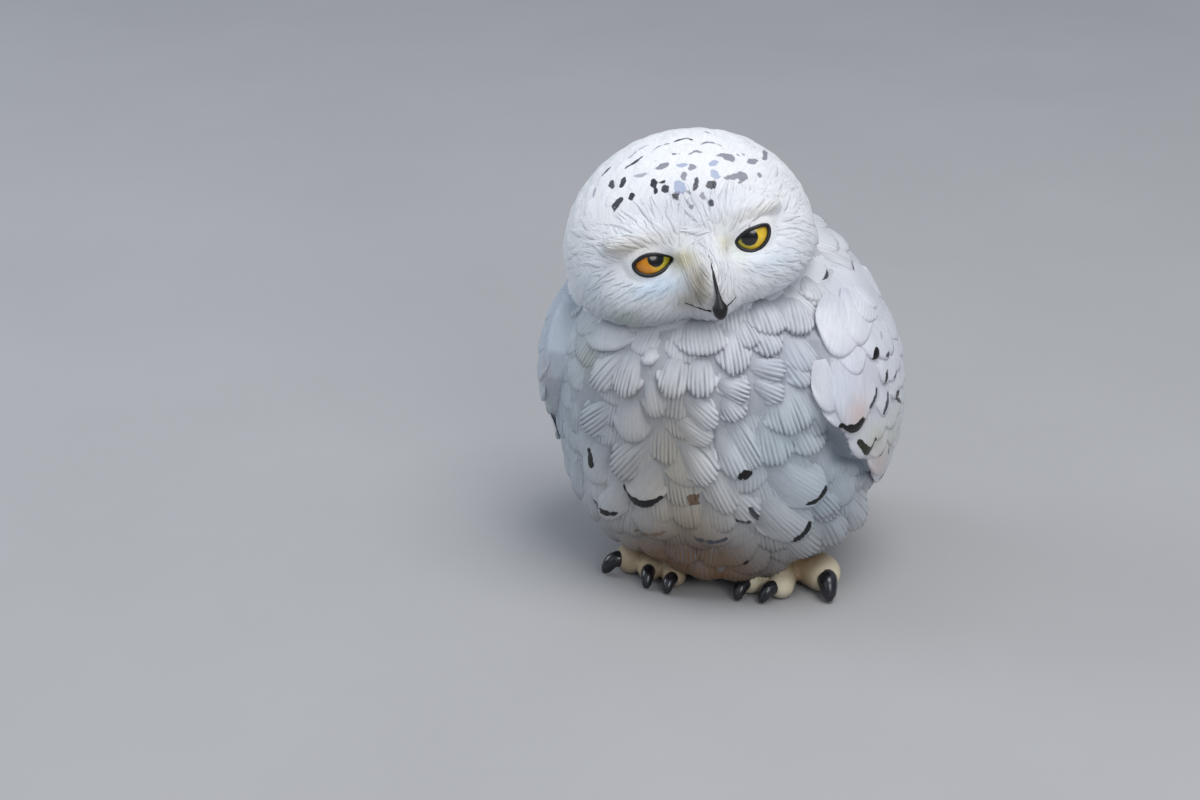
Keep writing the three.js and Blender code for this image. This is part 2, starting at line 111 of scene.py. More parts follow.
def head_plain(x, y, z):
    d = ell(x, y, z, (0, 1.5, 0), (19, 17.2, 17.2))
    d = blend(d, ell(x, y, z, (0, -5, -2.4), (17.1, 12, 9.6)), 4)
    d = carve(d, -(z - CHIN_LEVEL) + CHIN_SLOPE * (y + 10), 5)
    ax = np.abs(x)
    d = blend(d, ell(x, y, z, (0.2, -14.9, -2.5), (3.3, 4.9, 5.2)), 2.6)
    d = blend(d, ell(ax, y, z, (6.4, -11.9, 5.7), (6.6, 2.9, 1.9)), 2.2)
    d = blend(d, ell(ax, y, z, (8.2, -11.0, -2.8), (5.6, 4.4, 3.2)), 3.0)
    return carve(d, -ell(ax, y, z, (7.5, -16.6, 1.9), (3.9, 2.3, 2.3)), 1.2)
def head_field(x, y, z, eyes=True):
    d = head_plain(x, y, z)
    if not eyes:
        return d
    for side in (-1, 1):
        near = (x * side > 2.2) & (x * side < 13) & (z > -3.2) & (z < 7) & (y < -8)
        if near.any():
            xs, ys, zs, dn = x[near], y[near], z[near], d[near]
            ball = np.sqrt((xs - side * EYE_X) ** 2 + (ys - EYE_Y) ** 2 + (zs - EYE_Z) ** 2) - EYE_R
            rim = poly_distance(xs - side * EYE_X, zs - EYE_Z, RIM_LOOP[side])
            lid = ball - 0.40 + 0.75 * np.maximum(rim - 0.9, 0)      # a lid lies over the ball round the opening
            dn = blend(dn, lid, 0.8)
            dn = carve(dn, np.minimum(-rim, ball + 0.5), 0.18)       # and the opening shows the ball
            d = d.copy(); d[near] = dn
    return d

def trunk_field(P):
    x, y, z = P[..., 0], P[..., 1], P[..., 2]
    d = ell(x, y, z, (0.2, 1.1, 27.2), (27, 24.4, 24.8))
    d = blend(d, ell(x, y, z, (0, 8, 43.4), (19.5, 13.5, 14.3)), 8)
    d = blend(d, ell(x, y, z, (0, -2, 14), (21.2, 16.1, 12.4)), 7)
    d = blend(d, ell(x, y, z, (3.8, -7.5, 7.6), (9.4, 8.8, 6.6)), 3.5)
    d = blend(d, ell(x, y, z, (0, -5.5, 37.5), (19.7, 17.2, 11.8)), 6)
    d = blend(d, ell(np.abs(x), y, z, (10.5, -7.5, 33), (12.3, 12.2, 14.8)), 4)
    return carve(d, 1.8 - z, 2)
W_R, P_R = rx(-12), rz(29) @ rx(-29)
def wing_only(P):
    q = P.copy(); q[..., 0] = np.abs(q[..., 0])
    a = (q - np.array([16.3, -1.5, 32.5])) @ W_R
    b = (q - np.array([14.0, 17.2, 15.4])) @ P_R
    return blend(ell(a[..., 0], a[..., 1], a[..., 2], (0, 0, 0), (11.8, 17.4, 17.3)),
                 ell(b[..., 0], b[..., 1], b[..., 2], (0, 0, 0), (6.2, 17.0, 7.6)), 5)
def wing_field(P):
    return blend(wing_only(P), trunk_field(P) - 0.7, 1.5)
WING_EDGE = np.array([[-7, 47.6], [-14, 44], [-17.6, 37], [-17.4, 32.5], [-14.5, 28], [-13.2, 25.4], [-9.4, 23.4],
    [-6.8, 20.6], [-2.4, 19.6], [0.6, 16.8], [5.4, 16.0], [8.6, 13.0], [13.4, 12.0], [16.8, 9.2], [21.4, 8.2],
    [27, 5.4], [31.6, 5.4], [30.0, 10.5], [25.6, 18.5], [21.4, 29], [17.0, 39], [11.0, 46], [3.0, 49.6]])
RIGHT_SET_BACK = 3.4          # the right wing lies further back at its front edge
WING_EDGE_RIGHT = WING_EDGE + np.stack([RIGHT_SET_BACK * np.clip((-5 - WING_EDGE[:, 0]) / 8, 0, 1), 0 * WING_EDGE[:, 0]], -1)
def wing_edge(P):
    return np.where(P[..., 0] > 0, poly_distance(P[..., 1], P[..., 2], WING_EDGE), poly_distance(P[..., 1], P[..., 2], WING_EDGE_RIGHT))

TAIL_R = rx(-21)
def tail_field(P):
    q = (P - np.array([0, 17.0, 10.2])) @ TAIL_R
    x, y, z = q[..., 0], q[..., 1], q[..., 2]
    half = 6.2 + 4.0 * np.clip(y / 14.8, 0, 1)
    return np.maximum(np.maximum(np.abs(x) - half, np.abs(y - 8.4) - 10.7 + 0.036 * x * x), np.abs(z + 0.022 * x * x) - 0.75)

# feet: shank (centre, radii), then each toe's start, end and radii, then its claw's base, tip and radius
FEET = {
    "left": {"shank": ((12.6, -2.6, 3.9), (4.6, 4.8, 4.2)), "toes": [
        ((12.6, -4.0, 3.4), (18.3, -6.0, 2.75), 2.5, 2.95, (19.6, -8.1, 3.0), (20.8, -10.7, 0.25), 1.55),
        ((12.6, -4.5, 3.0), (13.1, -10.6, 1.85), 2.4, 2.0, (12.1, -12.1, 2.1), (10.9, -14.3, 0.25), 1.15),
        ((11.6, -4.0, 3.0), (8.3, -10.6, 1.9), 2.3, 2.0, (7.8, -12.2, 2.2), (7.2, -14.7, 0.25), 1.1),
        ((12.6, -2.0, 3.0), (13.2, 4.4, 1.8), 2.4, 1.95, (13.4, 6.1, 2.1), (13.7, 8.6, 0.25), 1.1)]},
    "right": {"shank": ((-7.8, -3.4, 3.9), (4.5, 4.7, 4.2)), "toes": [
        ((-8.0, -4.5, 3.2), (-11.2, -9.6, 2.35), 2.4, 2.5, (-12.8, -10.9, 2.6), (-14.9, -12.2, 0.25), 1.3),
        ((-7.8, -4.8, 3.0), (-7.6, -11.2, 1.9), 2.3, 2.05, (-7.4, -12.8, 2.2), (-7.0, -15.3, 0.25), 1.1),
        ((-7.2, -4.6, 3.0), (-3.5, -12.2, 1.75), 2.3, 1.9, (-3.4, -13.7, 2.0), (-3.6, -16.1, 0.25), 1.05),
        ((-7.8, -3.0, 3.0), (-8.6, 3.8, 1.8), 2.4, 1.95, (-8.8, 5.5, 2.1), (-9.1, 8.0, 0.25), 1.1)]},
}
def rod(P, a, b, ra, rb):
    a, b = np.array(a), np.array(b); e = b - a
    w = P - a
    t = np.clip((w @ e) / (e @ e), 0, 1)
    return np.linalg.norm(w - t[..., None] * e, axis=-1) - (ra + (rb - ra) * t)
def feet_field(P):
    d = None
    for f in FEET.values():
        c, r = f["shank"]
        s = ell(P[..., 0], P[..., 1], P[..., 2], c, r)
        for a, b, ra, rb, *_ in f["toes"]:
            s = blend(s, rod(P, a, b, ra * 0.9, rb), 0.7)
        d = s if d is None else np.minimum(d, s)
    return carve(d, 0.03 - P[..., 2], 0.35)

COAT = 0.85          # depth of the sculpted feathers over the trunk
WING_COAT = 0.45
def skin_field(P):
    q = to_head(P)
    h = head_field(q[..., 0], q[..., 1], q[..., 2]) + 0.06
    t = trunk_field(P)
    w = np.full(t.shape, 1e3)
    band = t < 22
    if band.any():
        Pb = P[band]
        wb = blend(wing_only(Pb), t[band] - 0.7, 1.5) + WING_COAT
        w[band] = carve(wb, wing_edge(Pb) + 0.25, 0.8)
    b = blend(t + COAT, w, 0.35)
    b = blend(b, tail_field(P), 1.2)
    b = blend(b, feet_field(P), 0.8)
    return blend(b, h, 0.5)

def gradient(f, P, e=0.02):
    g = np.empty(P.shape)
    for k in range(3):
        d = np.zeros(3); d[k] = e
        g[..., k] = (f(P + d) - f(P - d)) / (2 * e)
    return g
def unit(v):
    return v / np.maximum(np.linalg.norm(v, axis=-1, keepdims=True), 1e-9)
def settle(f, P, steps=3, level=0.0, limit=1.0):
    for _ in range(steps):
        g = gradient(f, P)
        s = (f(P) - level) / np.maximum((g * g).sum(-1), 0.05)
        P = P - np.clip(s, -limit, limit)[..., None] * g
    return P

# ------------------------------------------------------------------ skin: closed surface by surface nets
def net_surface(f, gx, gy, gz, block=14):
    nx, ny, nz = len(gx), len(gy), len(gz)
    F = np.full((nx, ny, nz), 5.0, np.float32)
    for i in range(0, nx, block):
        i2 = min(i + block, nx)
        for j in range(0, ny, block):
            j2 = min(j + block, ny)
            ks = list(range(0, nz, block))
            C = np.array([[(gx[i] + gx[i2 - 1]) / 2, (gy[j] + gy[j2 - 1]) / 2, (gz[k] + gz[min(k + block, nz) - 1]) / 2] for k in ks])
            v = f(C)
            for n, k in enumerate(ks):
                k2 = min(k + block, nz)
                rad = 0.5 * math.sqrt((gx[i2 - 1] - gx[i]) ** 2 + (gy[j2 - 1] - gy[j]) ** 2 + (gz[k2 - 1] - gz[k]) ** 2)
                if abs(v[n]) < rad * 1.25 + 1.2:
                    X, Y, Z = np.meshgrid(gx[i:i2], gy[j:j2], gz[k:k2], indexing="ij")
                    F[i:i2, j:j2, k:k2] = f(np.stack([X, Y, Z], -1))
                else:
                    F[i:i2, j:j2, k:k2] = 5.0 if v[n] > 0 else -5.0
    S = F < 0
    c = S[:-1, :-1, :-1].astype(np.int8)
    cnt = np.zeros(c.shape, np.int8)
    for a in (0, 1):
        for b in (0, 1):
            for d in (0, 1):
                cnt += S[a:nx - 1 + a, b:ny - 1 + b, d:nz - 1 + d]
    act = np.argwhere((cnt > 0) & (cnt < 8))
    idx = np.full(c.shape, -1, np.int32)
    idx[act[:, 0], act[:, 1], act[:, 2]] = np.arange(len(act))
    corners = [(a, b, d) for a in (0, 1) for b in (0, 1) for d in (0, 1)]
    val = {q: F[act[:, 0] + q[0], act[:, 1] + q[1], act[:, 2] + q[2]] for q in corners}
    pos = {q: np.stack([gx[act[:, 0] + q[0]], gy[act[:, 1] + q[1]], gz[act[:, 2] + q[2]]], -1) for q in corners}
    acc = np.zeros((len(act), 3)); num = np.zeros(len(act))
    for q in corners:
        for ax in range(3):
            if q[ax] == 0:
                r = list(q); r[ax] = 1; r = tuple(r)
                va, vb = val[q], val[r]
                m = (va < 0) != (vb < 0)
                t = np.where(m, va / np.where(m, va - vb, 1), 0)
                p = pos[q] + (pos[r] - pos[q]) * t[:, None]
                acc[m] += p[m]; num[m] += 1
    V = acc / num[:, None]
    quads = []
    def add(a, b, c_, d, flip):
        q = np.stack([a, b, c_, d], -1)
        q = np.where(flip[:, None], q[:, ::-1], q)
        quads.append(q)
    e = np.argwhere(S[:-1, 1:-1, 1:-1] != S[1:, 1:-1, 1:-1]); i, j, k = e[:, 0], e[:, 1] + 1, e[:, 2] + 1
    add(idx[i, j - 1, k - 1], idx[i, j, k - 1], idx[i, j, k], idx[i, j - 1, k], ~S[i, j, k])
    e = np.argwhere(S[1:-1, :-1, 1:-1] != S[1:-1, 1:, 1:-1]); i, j, k = e[:, 0] + 1, e[:, 1], e[:, 2] + 1
    add(idx[i - 1, j, k - 1], idx[i - 1, j, k], idx[i, j, k], idx[i, j, k - 1], ~S[i, j, k])
    e = np.argwhere(S[1:-1, 1:-1, :-1] != S[1:-1, 1:-1, 1:]); i, j, k = e[:, 0] + 1, e[:, 1] + 1, e[:, 2]
    add(idx[i - 1, j - 1, k], idx[i, j - 1, k], idx[i, j, k], idx[i - 1, j, k], ~S[i, j, k])
    return V, np.concatenate(quads)

# ------------------------------------------------------------------ colours
def rgb(r, g, b):
    c = np.array([r, g, b]) / 255.0
    return np.where(c <= 0.04045, c / 12.92, ((c + 0.055) / 1.055) ** 2.4)
WHITE = rgb(236, 236, 238)
WASH = rgb(176, 194, 206)
BODY_WHITE = rgb(214, 215, 219)
BODY_WASH_COLOUR = rgb(178, 184, 191)
INK = {"K": rgb(9, 9, 12), "C": rgb(46, 46, 52), "D": rgb(66, 66, 74), "G": rgb(144, 145, 154), "B": rgb(172, 181, 204), "F": rgb(172, 174, 184),
       "N": rgb(112, 92, 74), "O": rgb(38, 40, 24), "U": rgb(84, 100, 118)}

def dab(P, c, r):
    q = (P - np.array(c)) / np.array(r)
    return np.exp(-(q * q).sum(-1))
# [centre, radii, colour, strength]: thin washes over the head's white; those on the face's left side, beside the bill,
# under the eye, low on the disc and along the chin, are darker than their fellows on the right and are partly painted
# shade
HEAD_WASH_AND_SHADE = [
    ((-2.7, -15.8, 2.0), (1.6, 3.0, 1.3), rgb(198, 188, 132), 0.70), ((-1.6, -17.6, -1.6), (1.7, 3.2, 3.2), rgb(166, 152, 124), 0.75),
    ((-3.6, -16.5, -3.8), (2.4, 3.0, 1.8), rgb(150, 142, 124), 0.60), ((3.5, -16.0, 2.6), (1.2, 2.5, 1.5), rgb(208, 202, 166), 0.45), ((2.4, -17.4, -1.2), (1.2, 2.5, 2.4), rgb(214, 212, 222), 0.4),
    ((-7.2, -14.6, -1.2), (4.2, 3.4, 1.5), rgb(172, 196, 218), 0.60), ((8.4, -14.0, -1.8), (4.2, 3.4, 1.6), rgb(184, 204, 222), 0.45),
    ((-12.5, -12.0, -5.2), (3.8, 4.5, 2.2), rgb(142, 158, 144), 0.62), ((0.0, -14.0, 8.6), (7.5, 6.0, 3.4), rgb(190, 194, 204), 0.40), ((-6.5, -14.5, -7.0), (6.5, 5.0, 1.7), rgb(166, 170, 178), 0.55),
    ((-9.5, -13.5, 5.3), (5.0, 4.0, 1.3), rgb(196, 184, 160), 0.42), ((9.0, -13.5, 5.6), (4.2, 3.4, 0.9), rgb(200, 192, 172), 0.30),
    ((12.0, -11.5, -4.6), (5.0, 4.5, 2.2), rgb(204, 208, 216), 0.20), ((7.0, -14.5, -7.2), (6.0, 4.5, 1.6), rgb(206, 210, 218), 0.22),
    ((0.4, -16.5, 4.2), (1.1, 3.0, 1.9), rgb(196, 196, 200), 0.45), ((5.4, -15.5, 0.6), (0.9, 2.0, 2.0), rgb(204, 214, 196), 0.3),
    ((-15.5, -8.0, -1.0), (3.2, 5.0, 5.0), rgb(176, 192, 206), 0.40),
]
# [centre, radii, colour, strength]: washes over the body's white, with painted shade at its underside
BODY_WASH_AND_SHADE = [
    ((21.0, -9.0, 14.0), (9.0, 10.0, 9.0), rgb(142, 148, 152), 0.50),
    ((-4.0, -20.0, 17.0), (15.0, 12.0, 9.0), rgb(168, 164, 158), 0.55), ((-3.5, -22.0, 30.5), (6.5, 7.0, 8.0), rgb(158, 154, 150), 0.55),
    ((-6.0, -21.0, 24.0), (7.0, 7.0, 5.0), rgb(152, 148, 142), 0.50), ((14.5, -17.0, 41.0), (9.0, 8.0, 6.0), rgb(176, 180, 194), 0.60), ((6.0, -20.0, 13.0), (12.0, 10.0, 7.0), rgb(170, 164, 154), 0.45),
    # the first here: the belly's dark ochre, deepened into painted shade under the belly
    ((1.5, -20.0, 7.5), (11.5, 9.0, 5.2), rgb(88, 62, 38), 0.92), ((1.0, -21.5, 14.5), (5.0, 6.0, 5.5), rgb(166, 144, 104), 0.62),
    ((-0.5, -22.0, 26.5), (3.4, 6.0, 8.5), rgb(168, 158, 134), 0.60), ((-13.5, -18.0, 30.0), (6.0, 8.0, 10.0), rgb(164, 176, 184), 0.45),
    ((-21.5, -11.0, 26.0), (6.5, 9.0, 17.0), rgb(146, 166, 180), 0.62), ((14.0, -18.0, 30.0), (7.0, 8.0, 11.0), rgb(176, 198, 210), 0.50),
    ((20.5, -13.0, 20.0), (5.5, 7.0, 8.0), rgb(160, 180, 194), 0.55), ((12.0, -18.5, 12.0), (9.0, 7.0, 5.0), rgb(168, 176, 184), 0.45),
    ((-12.0, -17.0, 11.0), (9.0, 7.0, 6.0), rgb(166, 172, 176), 0.50), ((-6.5, -20.5, 34.0), (5.0, 6.0, 5.0), rgb(186, 182, 182), 0.35),
    ((-15.5, -17.5, 38.0), (2.4, 4.0, 3.0), rgb(150, 158, 136), 0.45), ((9.5, -19.0, 37.5), (4.0, 5.0, 4.0), rgb(206, 204, 214), 0.35),
    # painted shade where the body turns under toward the floor, behind and in front
    ((0.0, 10.0, 3.5), (22.0, 22.0, 4.0), rgb(150, 140, 126), 0.65), ((0.0, -10.0, 4.0), (22.0, 16.0, 8.0), rgb(118, 112, 104), 0.60),
    # the belly's dark ochre, deepened into painted shade under the belly
    ((1.0, -19.0, 9.0), (10.5, 8.0, 6.0), rgb(92, 72, 54), 0.78), ((3.0, -15.0, 3.5), (13.0, 9.0, 5.8), rgb(72, 48, 26), 0.95),
]
WING_WASH = [
    ((24.4, -14.2, 33.2), (1.6, 2.4, 2.6), rgb(206, 168, 148), 0.55), ((25.6, -9.0, 27.5), (2.2, 3.0, 2.6), rgb(198, 200, 158), 0.50),
    ((26.6, -5.5, 22.0), (2.2, 3.0, 3.0), rgb(212, 180, 168), 0.50), ((24.0, -13.5, 40.0), (3.0, 4.0, 5.0), rgb(214, 214, 230), 0.45),
    ((27.5, -2.0, 26.0), (2.5, 4.0, 5.0), rgb(190, 196, 176), 0.40), ((22.0, -16.0, 37.0), (2.2, 3.0, 6.0), rgb(196, 204, 222), 0.45),
]

def cloud(P, scale, seed):
    # slow smooth wandering value in -1..1, from a few crossed waves
    r = np.random.default_rng(seed)
    v = np.zeros(P.shape[:-1])
    for _ in range(5):
        k = unit(r.normal(size=3)) * scale * r.uniform(0.7, 1.5)
        v += np.sin(P @ k + r.uniform(0, 6.28))
    return v / 3.2

def tint_of(P, kind):
    # base paint at a point: white, with thin washes, some of them painted shade; kind is head, body, wing or foot
    out = np.tile(BODY_WHITE if kind == "body" else rgb(216, 217, 222) if kind == "wing" else WHITE, (len(P), 1))
    c1, c2 = cloud(P, 0.35, 11), cloud(P, 0.8, 12)
    if kind == "foot":
        out = np.tile(rgb(222, 212, 186), (len(P), 1))
        m = np.clip(0.35 + 0.3 * c2 + sstep(1.6, 0.4, P[:, 2]) * 0.35, 0, 1)[:, None] * 0.6
        out = out * (1 - m) + rgb(170, 142, 96) * m
        # painted shade: browner toward the back of the toes, under the belly's overhang, and over the whole right foot,
        # which stands in shade
        m = (np.maximum(sstep(-11.5, -7.0, P[:, 1]) * sstep(20.0, 15.0, np.abs(P[:, 0] - 1.5)) * 0.85, 0.60 * (P[:, 0] < 0)))[:, None]
        return out * (1 - m) + rgb(128, 98, 62) * m
    if kind == "head":
        q = to_head(P)
        m = np.clip(0.16 + 0.16 * c1, 0, 0.5) * sstep(8, -6, q[:, 2])
        out = out * (1 - m[:, None]) + WASH * m[:, None]
        for c, r, col, k in HEAD_WASH_AND_SHADE:
            m = np.minimum(dab(q, c, r) * k * 1.35, 0.9)[:, None]
            out = out * (1 - m) + col * m
        return out
    if kind == "wing":
        m = np.clip(0.10 + 0.14 * c1, 0, 0.4)[:, None]
        out = out * (1 - m) + rgb(198, 204, 222) * m
        Q = P.copy(); Q[:, 0] = np.abs(Q[:, 0])
        for c, r, col, k in WING_WASH:
            m = (dab(Q, c, r) * k)[:, None]
            out = out * (1 - m) + col * m
        # painted shade: the owl's right wing turns bluer and darker toward its front
        m = ((P[:, 0] < 0) * sstep(2, -10, P[:, 1]) * 0.55)[:, None]
        out = out * (1 - m) + rgb(160, 176, 190) * m
        m = (sstep(24, 6, P[:, 2]) * 0.35 * (0.7 + 0.3 * c2))[:, None]
        return out * (1 - m) + rgb(186, 186, 180) * m
    m = np.clip(0.22 + 0.20 * c1 + 0.10 * c2, 0, 0.6)[:, None]
    out = out * (1 - m) + BODY_WASH_COLOUR * m
    for c, r, col, k in BODY_WASH_AND_SHADE:
        m = (dab(P, c, r) * k)[:, None]
        out = out * (1 - m) + col * m
    m = (sstep(13, 4, P[:, 2]) * sstep(13, 6, np.abs(P[:, 0] + 1)) * (P[:, 1] < 2) * 0.45)[:, None]
    out = out * (1 - m) + rgb(150, 112, 72) * m
    e = wing_edge(P)                      # the hollow under the wing's front edge: a dark wash there, deepened as painted shade
    m = (np.exp(-(np.maximum(e, 0) / 1.1) ** 2) * sstep(36, 30, P[:, 2]) * sstep(10, 16, P[:, 2]) * (P[:, 1] < 6) * np.where(P[:, 0] > 0, 0.85, 0.25))[:, None]
    return out * (1 - m) + rgb(72, 90, 104) * m

# ------------------------------------------------------------------ painted marks: strokes [points, half width, ink]
MARKS = {
    "crown": [
        ([(-12.4, -16.3, 60.8), (-12.3, -15.6, 61.8), (-11.7, -15.3, 62.6)], 0.46, "K"),
        ([(-10.2, -15.2, 63.3), (-9.9, -15.8, 62.8)], 0.43, "K"), ([(-14.1, -12.3, 64), (-13.7, -13.3, 63.4)], 0.34, "D"),
        ([(-12.1, -12.7, 64.8), (-12.2, -13.8, 63.9)], 0.37, "K"), ([(-17, -11.1, 62.5), (-16.8, -12.7, 61.4)], 0.23, "F"),
        ([(-16.3, -9.8, 64), (-15.5, -8.8, 65.1)], 0.22, "D"), ([(-18.8, -5.8, 63.1)], 0.18, "F"),
        ([(-12.5, -10.9, 65.8), (-11.5, -10.4, 66.5), (-10.3, -9.4, 67.4)], 0.2, "D"),
        ([(-12.8, -8.8, 66.7), (-10.4, -6.5, 68.3)], 0.14, "F"), ([(-9.1, -8.3, 68.1), (-8, -7.2, 68.7), (-6.9, -6.8, 69)], 0.15, "G"),
        ([(-6.7, -6.5, 69.1), (-5.1, -5.1, 69.5), (-3.9, -5.6, 69.4)], 0.17, "D"), ([(-3.6, -1.4, 69.7), (-1.7, -2.1, 69.6)], 0.14, "F"),
        ([(-2.4, -6.3, 69.1), (-1.7, -5, 69.3), (0.5, -5.3, 68.8)], 0.15, "G"),
        ([(-3.5, -9.2, 68.3), (-2.5, -8, 68.7), (-1.5, -8.1, 68.5)], 0.18, "G"), ([(-5.7, -9.5, 68.2), (-5.4, -9.5, 68.2)], 0.2, "G"),
        ([(-4.8, -9.2, 68.3), (-4.7, -9.2, 68.3)], 0.18, "G"), ([(1.4, -7.2, 68.1), (2, -7.2, 67.8), (2.6, -7, 67.7)], 0.55, "G"),
        ([(0.5, -7.8, 68.2), (1.2, -7.5, 68)], 0.18, "G"), ([(2.9, -5.6, 67.9), (3.1, -5.7, 67.8)], 0.18, "F"),
        ([(3.7, -5.1, 67.7), (3.8, -4.9, 67.7)], 0.18, "F"), ([(4.8, -5.8, 67), (5.4, -4.5, 67)], 0.37, "G"),
        ([(5.6, 1, 66.8), (6.2, -2.5, 66.7)], 0.29, "G"), ([(2.7, 0.1, 68.4), (4.3, -0.5, 67.7)], 0.14, "F"),
        ([(-8, -10.8, 67.3), (-7.8, -10.8, 67.3)], 0.22, "F"), ([(-7, -12.1, 66.7), (-6, -11.4, 67.2)], 0.4, "G"),
        ([(-4.2, -11.4, 67.2), (-3.3, -11.2, 67.2)], 0.34, "B"), ([(-2.3, -11.5, 67), (-1.9, -11, 67.2)], 0.37, "G"),
        ([(0.3, -9.8, 67.3), (0.8, -9.1, 67.5)], 0.37, "B"), ([(0.8, -10.9, 66.5), (1.5, -11.2, 66.1)], 0.46, "B"),
        ([(-3.1, -12.5, 66.4), (-2.8, -13.3, 65.8)], 0.28, "G"), ([(-10.4, -12.9, 65.4), (-8.5, -12.9, 65.8)], 0.23, "F"),
        ([(-7.3, -14, 65.2), (-6.8, -14.5, 64.8)], 0.42, "K"), ([(-6.7, -14.9, 64.5), (-6.4, -15.3, 64)], 0.32, "K"),
        ([(-6.6, -14.3, 65.1), (-5.6, -14, 65.4)], 0.18, "K"), ([(-5.4, -14.7, 64.7), (-5, -15, 64.4)], 0.4, "D"),
        ([(-3.6, -14.1, 65.2), (-2.7, -14.6, 64.6)], 0.62, "B"), ([(-2, -14.6, 64.4), (-1.6, -14.7, 64.2)], 0.25, "G"),
        ([(-3.7, -15.3, 64), (-3.3, -15.7, 63.6)], 0.35, "D"), ([(-1.1, -12.6, 65.9), (-0.9, -14.2, 64.6)], 0.26, "D"),
        ([(0.8, -13, 65), (1.3, -12.4, 65.3)], 0.48, "D"), ([(0.3, -14.2, 64.1), (0.4, -14.6, 63.6)], 0.28, "G"),
        ([(1.6, -14.5, 63.3), (1.8, -15, 62.8)], 0.29, "D"), ([(-2.2, -15.6, 63.4), (-2.1, -15.6, 63.4)], 0.17, "G"),
        ([(-1.5, -15.5, 63.4), (-1.5, -15.7, 63.1)], 0.22, "G"), ([(-1, -15.8, 62.8), (-0.9, -16, 62.5)], 0.23, "G"),
        ([(2.8, -10.8, 65.8), (4.2, -9.4, 65.8)], 0.32, "G"), ([(4.3, -9.3, 65.8), (5, -8.7, 65.7)], 0.58, "G"),
        ([(4.7, -10, 65.1), (4.8, -10.1, 65)], 0.23, "G"), ([(6.6, -6.3, 65.6), (6.8, -6.9, 65.2)], 0.28, "G"),
    ],
    "body": [
        ([(-15.6, -18.6, 23.5), (-15.2, -18.5, 22.2), (-14.7, -18.4, 21.1)], 0.45, "K"),
        ([(-9.4, -20.6, 19.4), (-8.1, -20.7, 18.2), (-6.8, -21, 17.9), (-5.6, -21.2, 17.7), (-3.9, -21.7, 18.3), (-2.7, -22, 19.1)], 0.42, "K"),
        ([(-15.4, -16.2, 14.7), (-14.1, -16.8, 14), (-12.1, -17.9, 13.9), (-10.2, -18.9, 14.3)], 0.28, "K"),
        ([(1.8, -22.2, 19.5), (2.8, -22, 18.9)], 0.8, "N"), ([(9.2, -21.75, 24.4), (10.3, -21.4, 24.6)], 0.60, "K"),
        ([(20, -14.7, 21.7), (19.5, -14.8, 20.6), (18.6, -15.4, 19.5), (17.2, -16.4, 19.1)], 0.29, "K"),
        ([(17.8, -14.8, 15.8), (16.6, -15, 13.5), (15, -15.8, 12.6)], 0.32, "K"),
        ([(21.2, -11.6, 16.8), (20.3, -12.2, 15.6), (18.7, -13.8, 15.1)], 0.23, "G"), ([(17.5, -10.5, 8.6)], 0.54, "U"),
        ([(-8.5, -18.3, 11.3), (-5.3, -19.4, 11.8), (-1.9, -20.4, 13.1)], 0.2, "N"),
        ([(-8.1, -15.2, 6.8), (-5.3, -16.5, 7.4), (-2.8, -18.2, 9)], 0.18, "N"),
        ([(1.5, -20.2, 12.5), (4.9, -19.7, 12.3), (6.7, -19.6, 13.1)], 0.25, "D"),
        ([(8.1, -20.3, 16.4), (9.5, -19.7, 15.8), (10.5, -19.6, 16.7)], 0.29, "D"),
        ([(6.7, -16.5, 7.7), (8.2, -15.8, 7.4), (9.4, -16.4, 8.7)], 0.35, "K"), ([(10.3, -20.2, 18.6), (11.2, -19.4, 17.1)], 0.31, "D"),
    ],
    "wing": [
        ([(25.7, -7.7, 41.1), (25.7, -8.4, 40.4), (25.7, -9, 39.8)], 0.49, "K"), ([(27.1, -6.5, 37.4), (27.1, -7.6, 36)], 0.29, "K"),
        ([(26.5, -9.6, 36), (26.4, -10.3, 34.6), (25.7, -12.1, 33.3)], 0.28, "D"),
        ([(27.5, -6.5, 34.4), (27.5, -7.1, 32.7), (27.2, -8.2, 31.2)], 0.32, "D"),
        ([(28, -2.9, 33.6), (28, -3.9, 32.5), (28, -0.2, 30.1)], 0.28, "D"), ([(25.7, -4.5, 42.6), (25.9, -5.4, 41.9)], 0.22, "F"),
        ([(18.2, -4.7, 49.3), (18.8, -5.4, 49)], 0.38, "F"), ([(19.4, -1.5, 49.2), (20, -2.3, 48.9)], 0.34, "F"),
        ([(22.5, -16.3, 31.9), (23.4, -15.3, 30.9), (24.3, -14.2, 30.9), (25.1, -13.2, 32.2)], 0.55, "K"),
        ([(24.6, -13.1, 28.5), (25.2, -10.6, 25.8), (25.8, -9.6, 26.1), (26.3, -9.5, 27.7)], 0.49, "O"),
        ([(25.5, -5, 20.9), (25.5, -0.6, 18.4)], 0.28, "D"), ([(26.9, -0.9, 24.1)], 0.31, "O"),
    ],
}

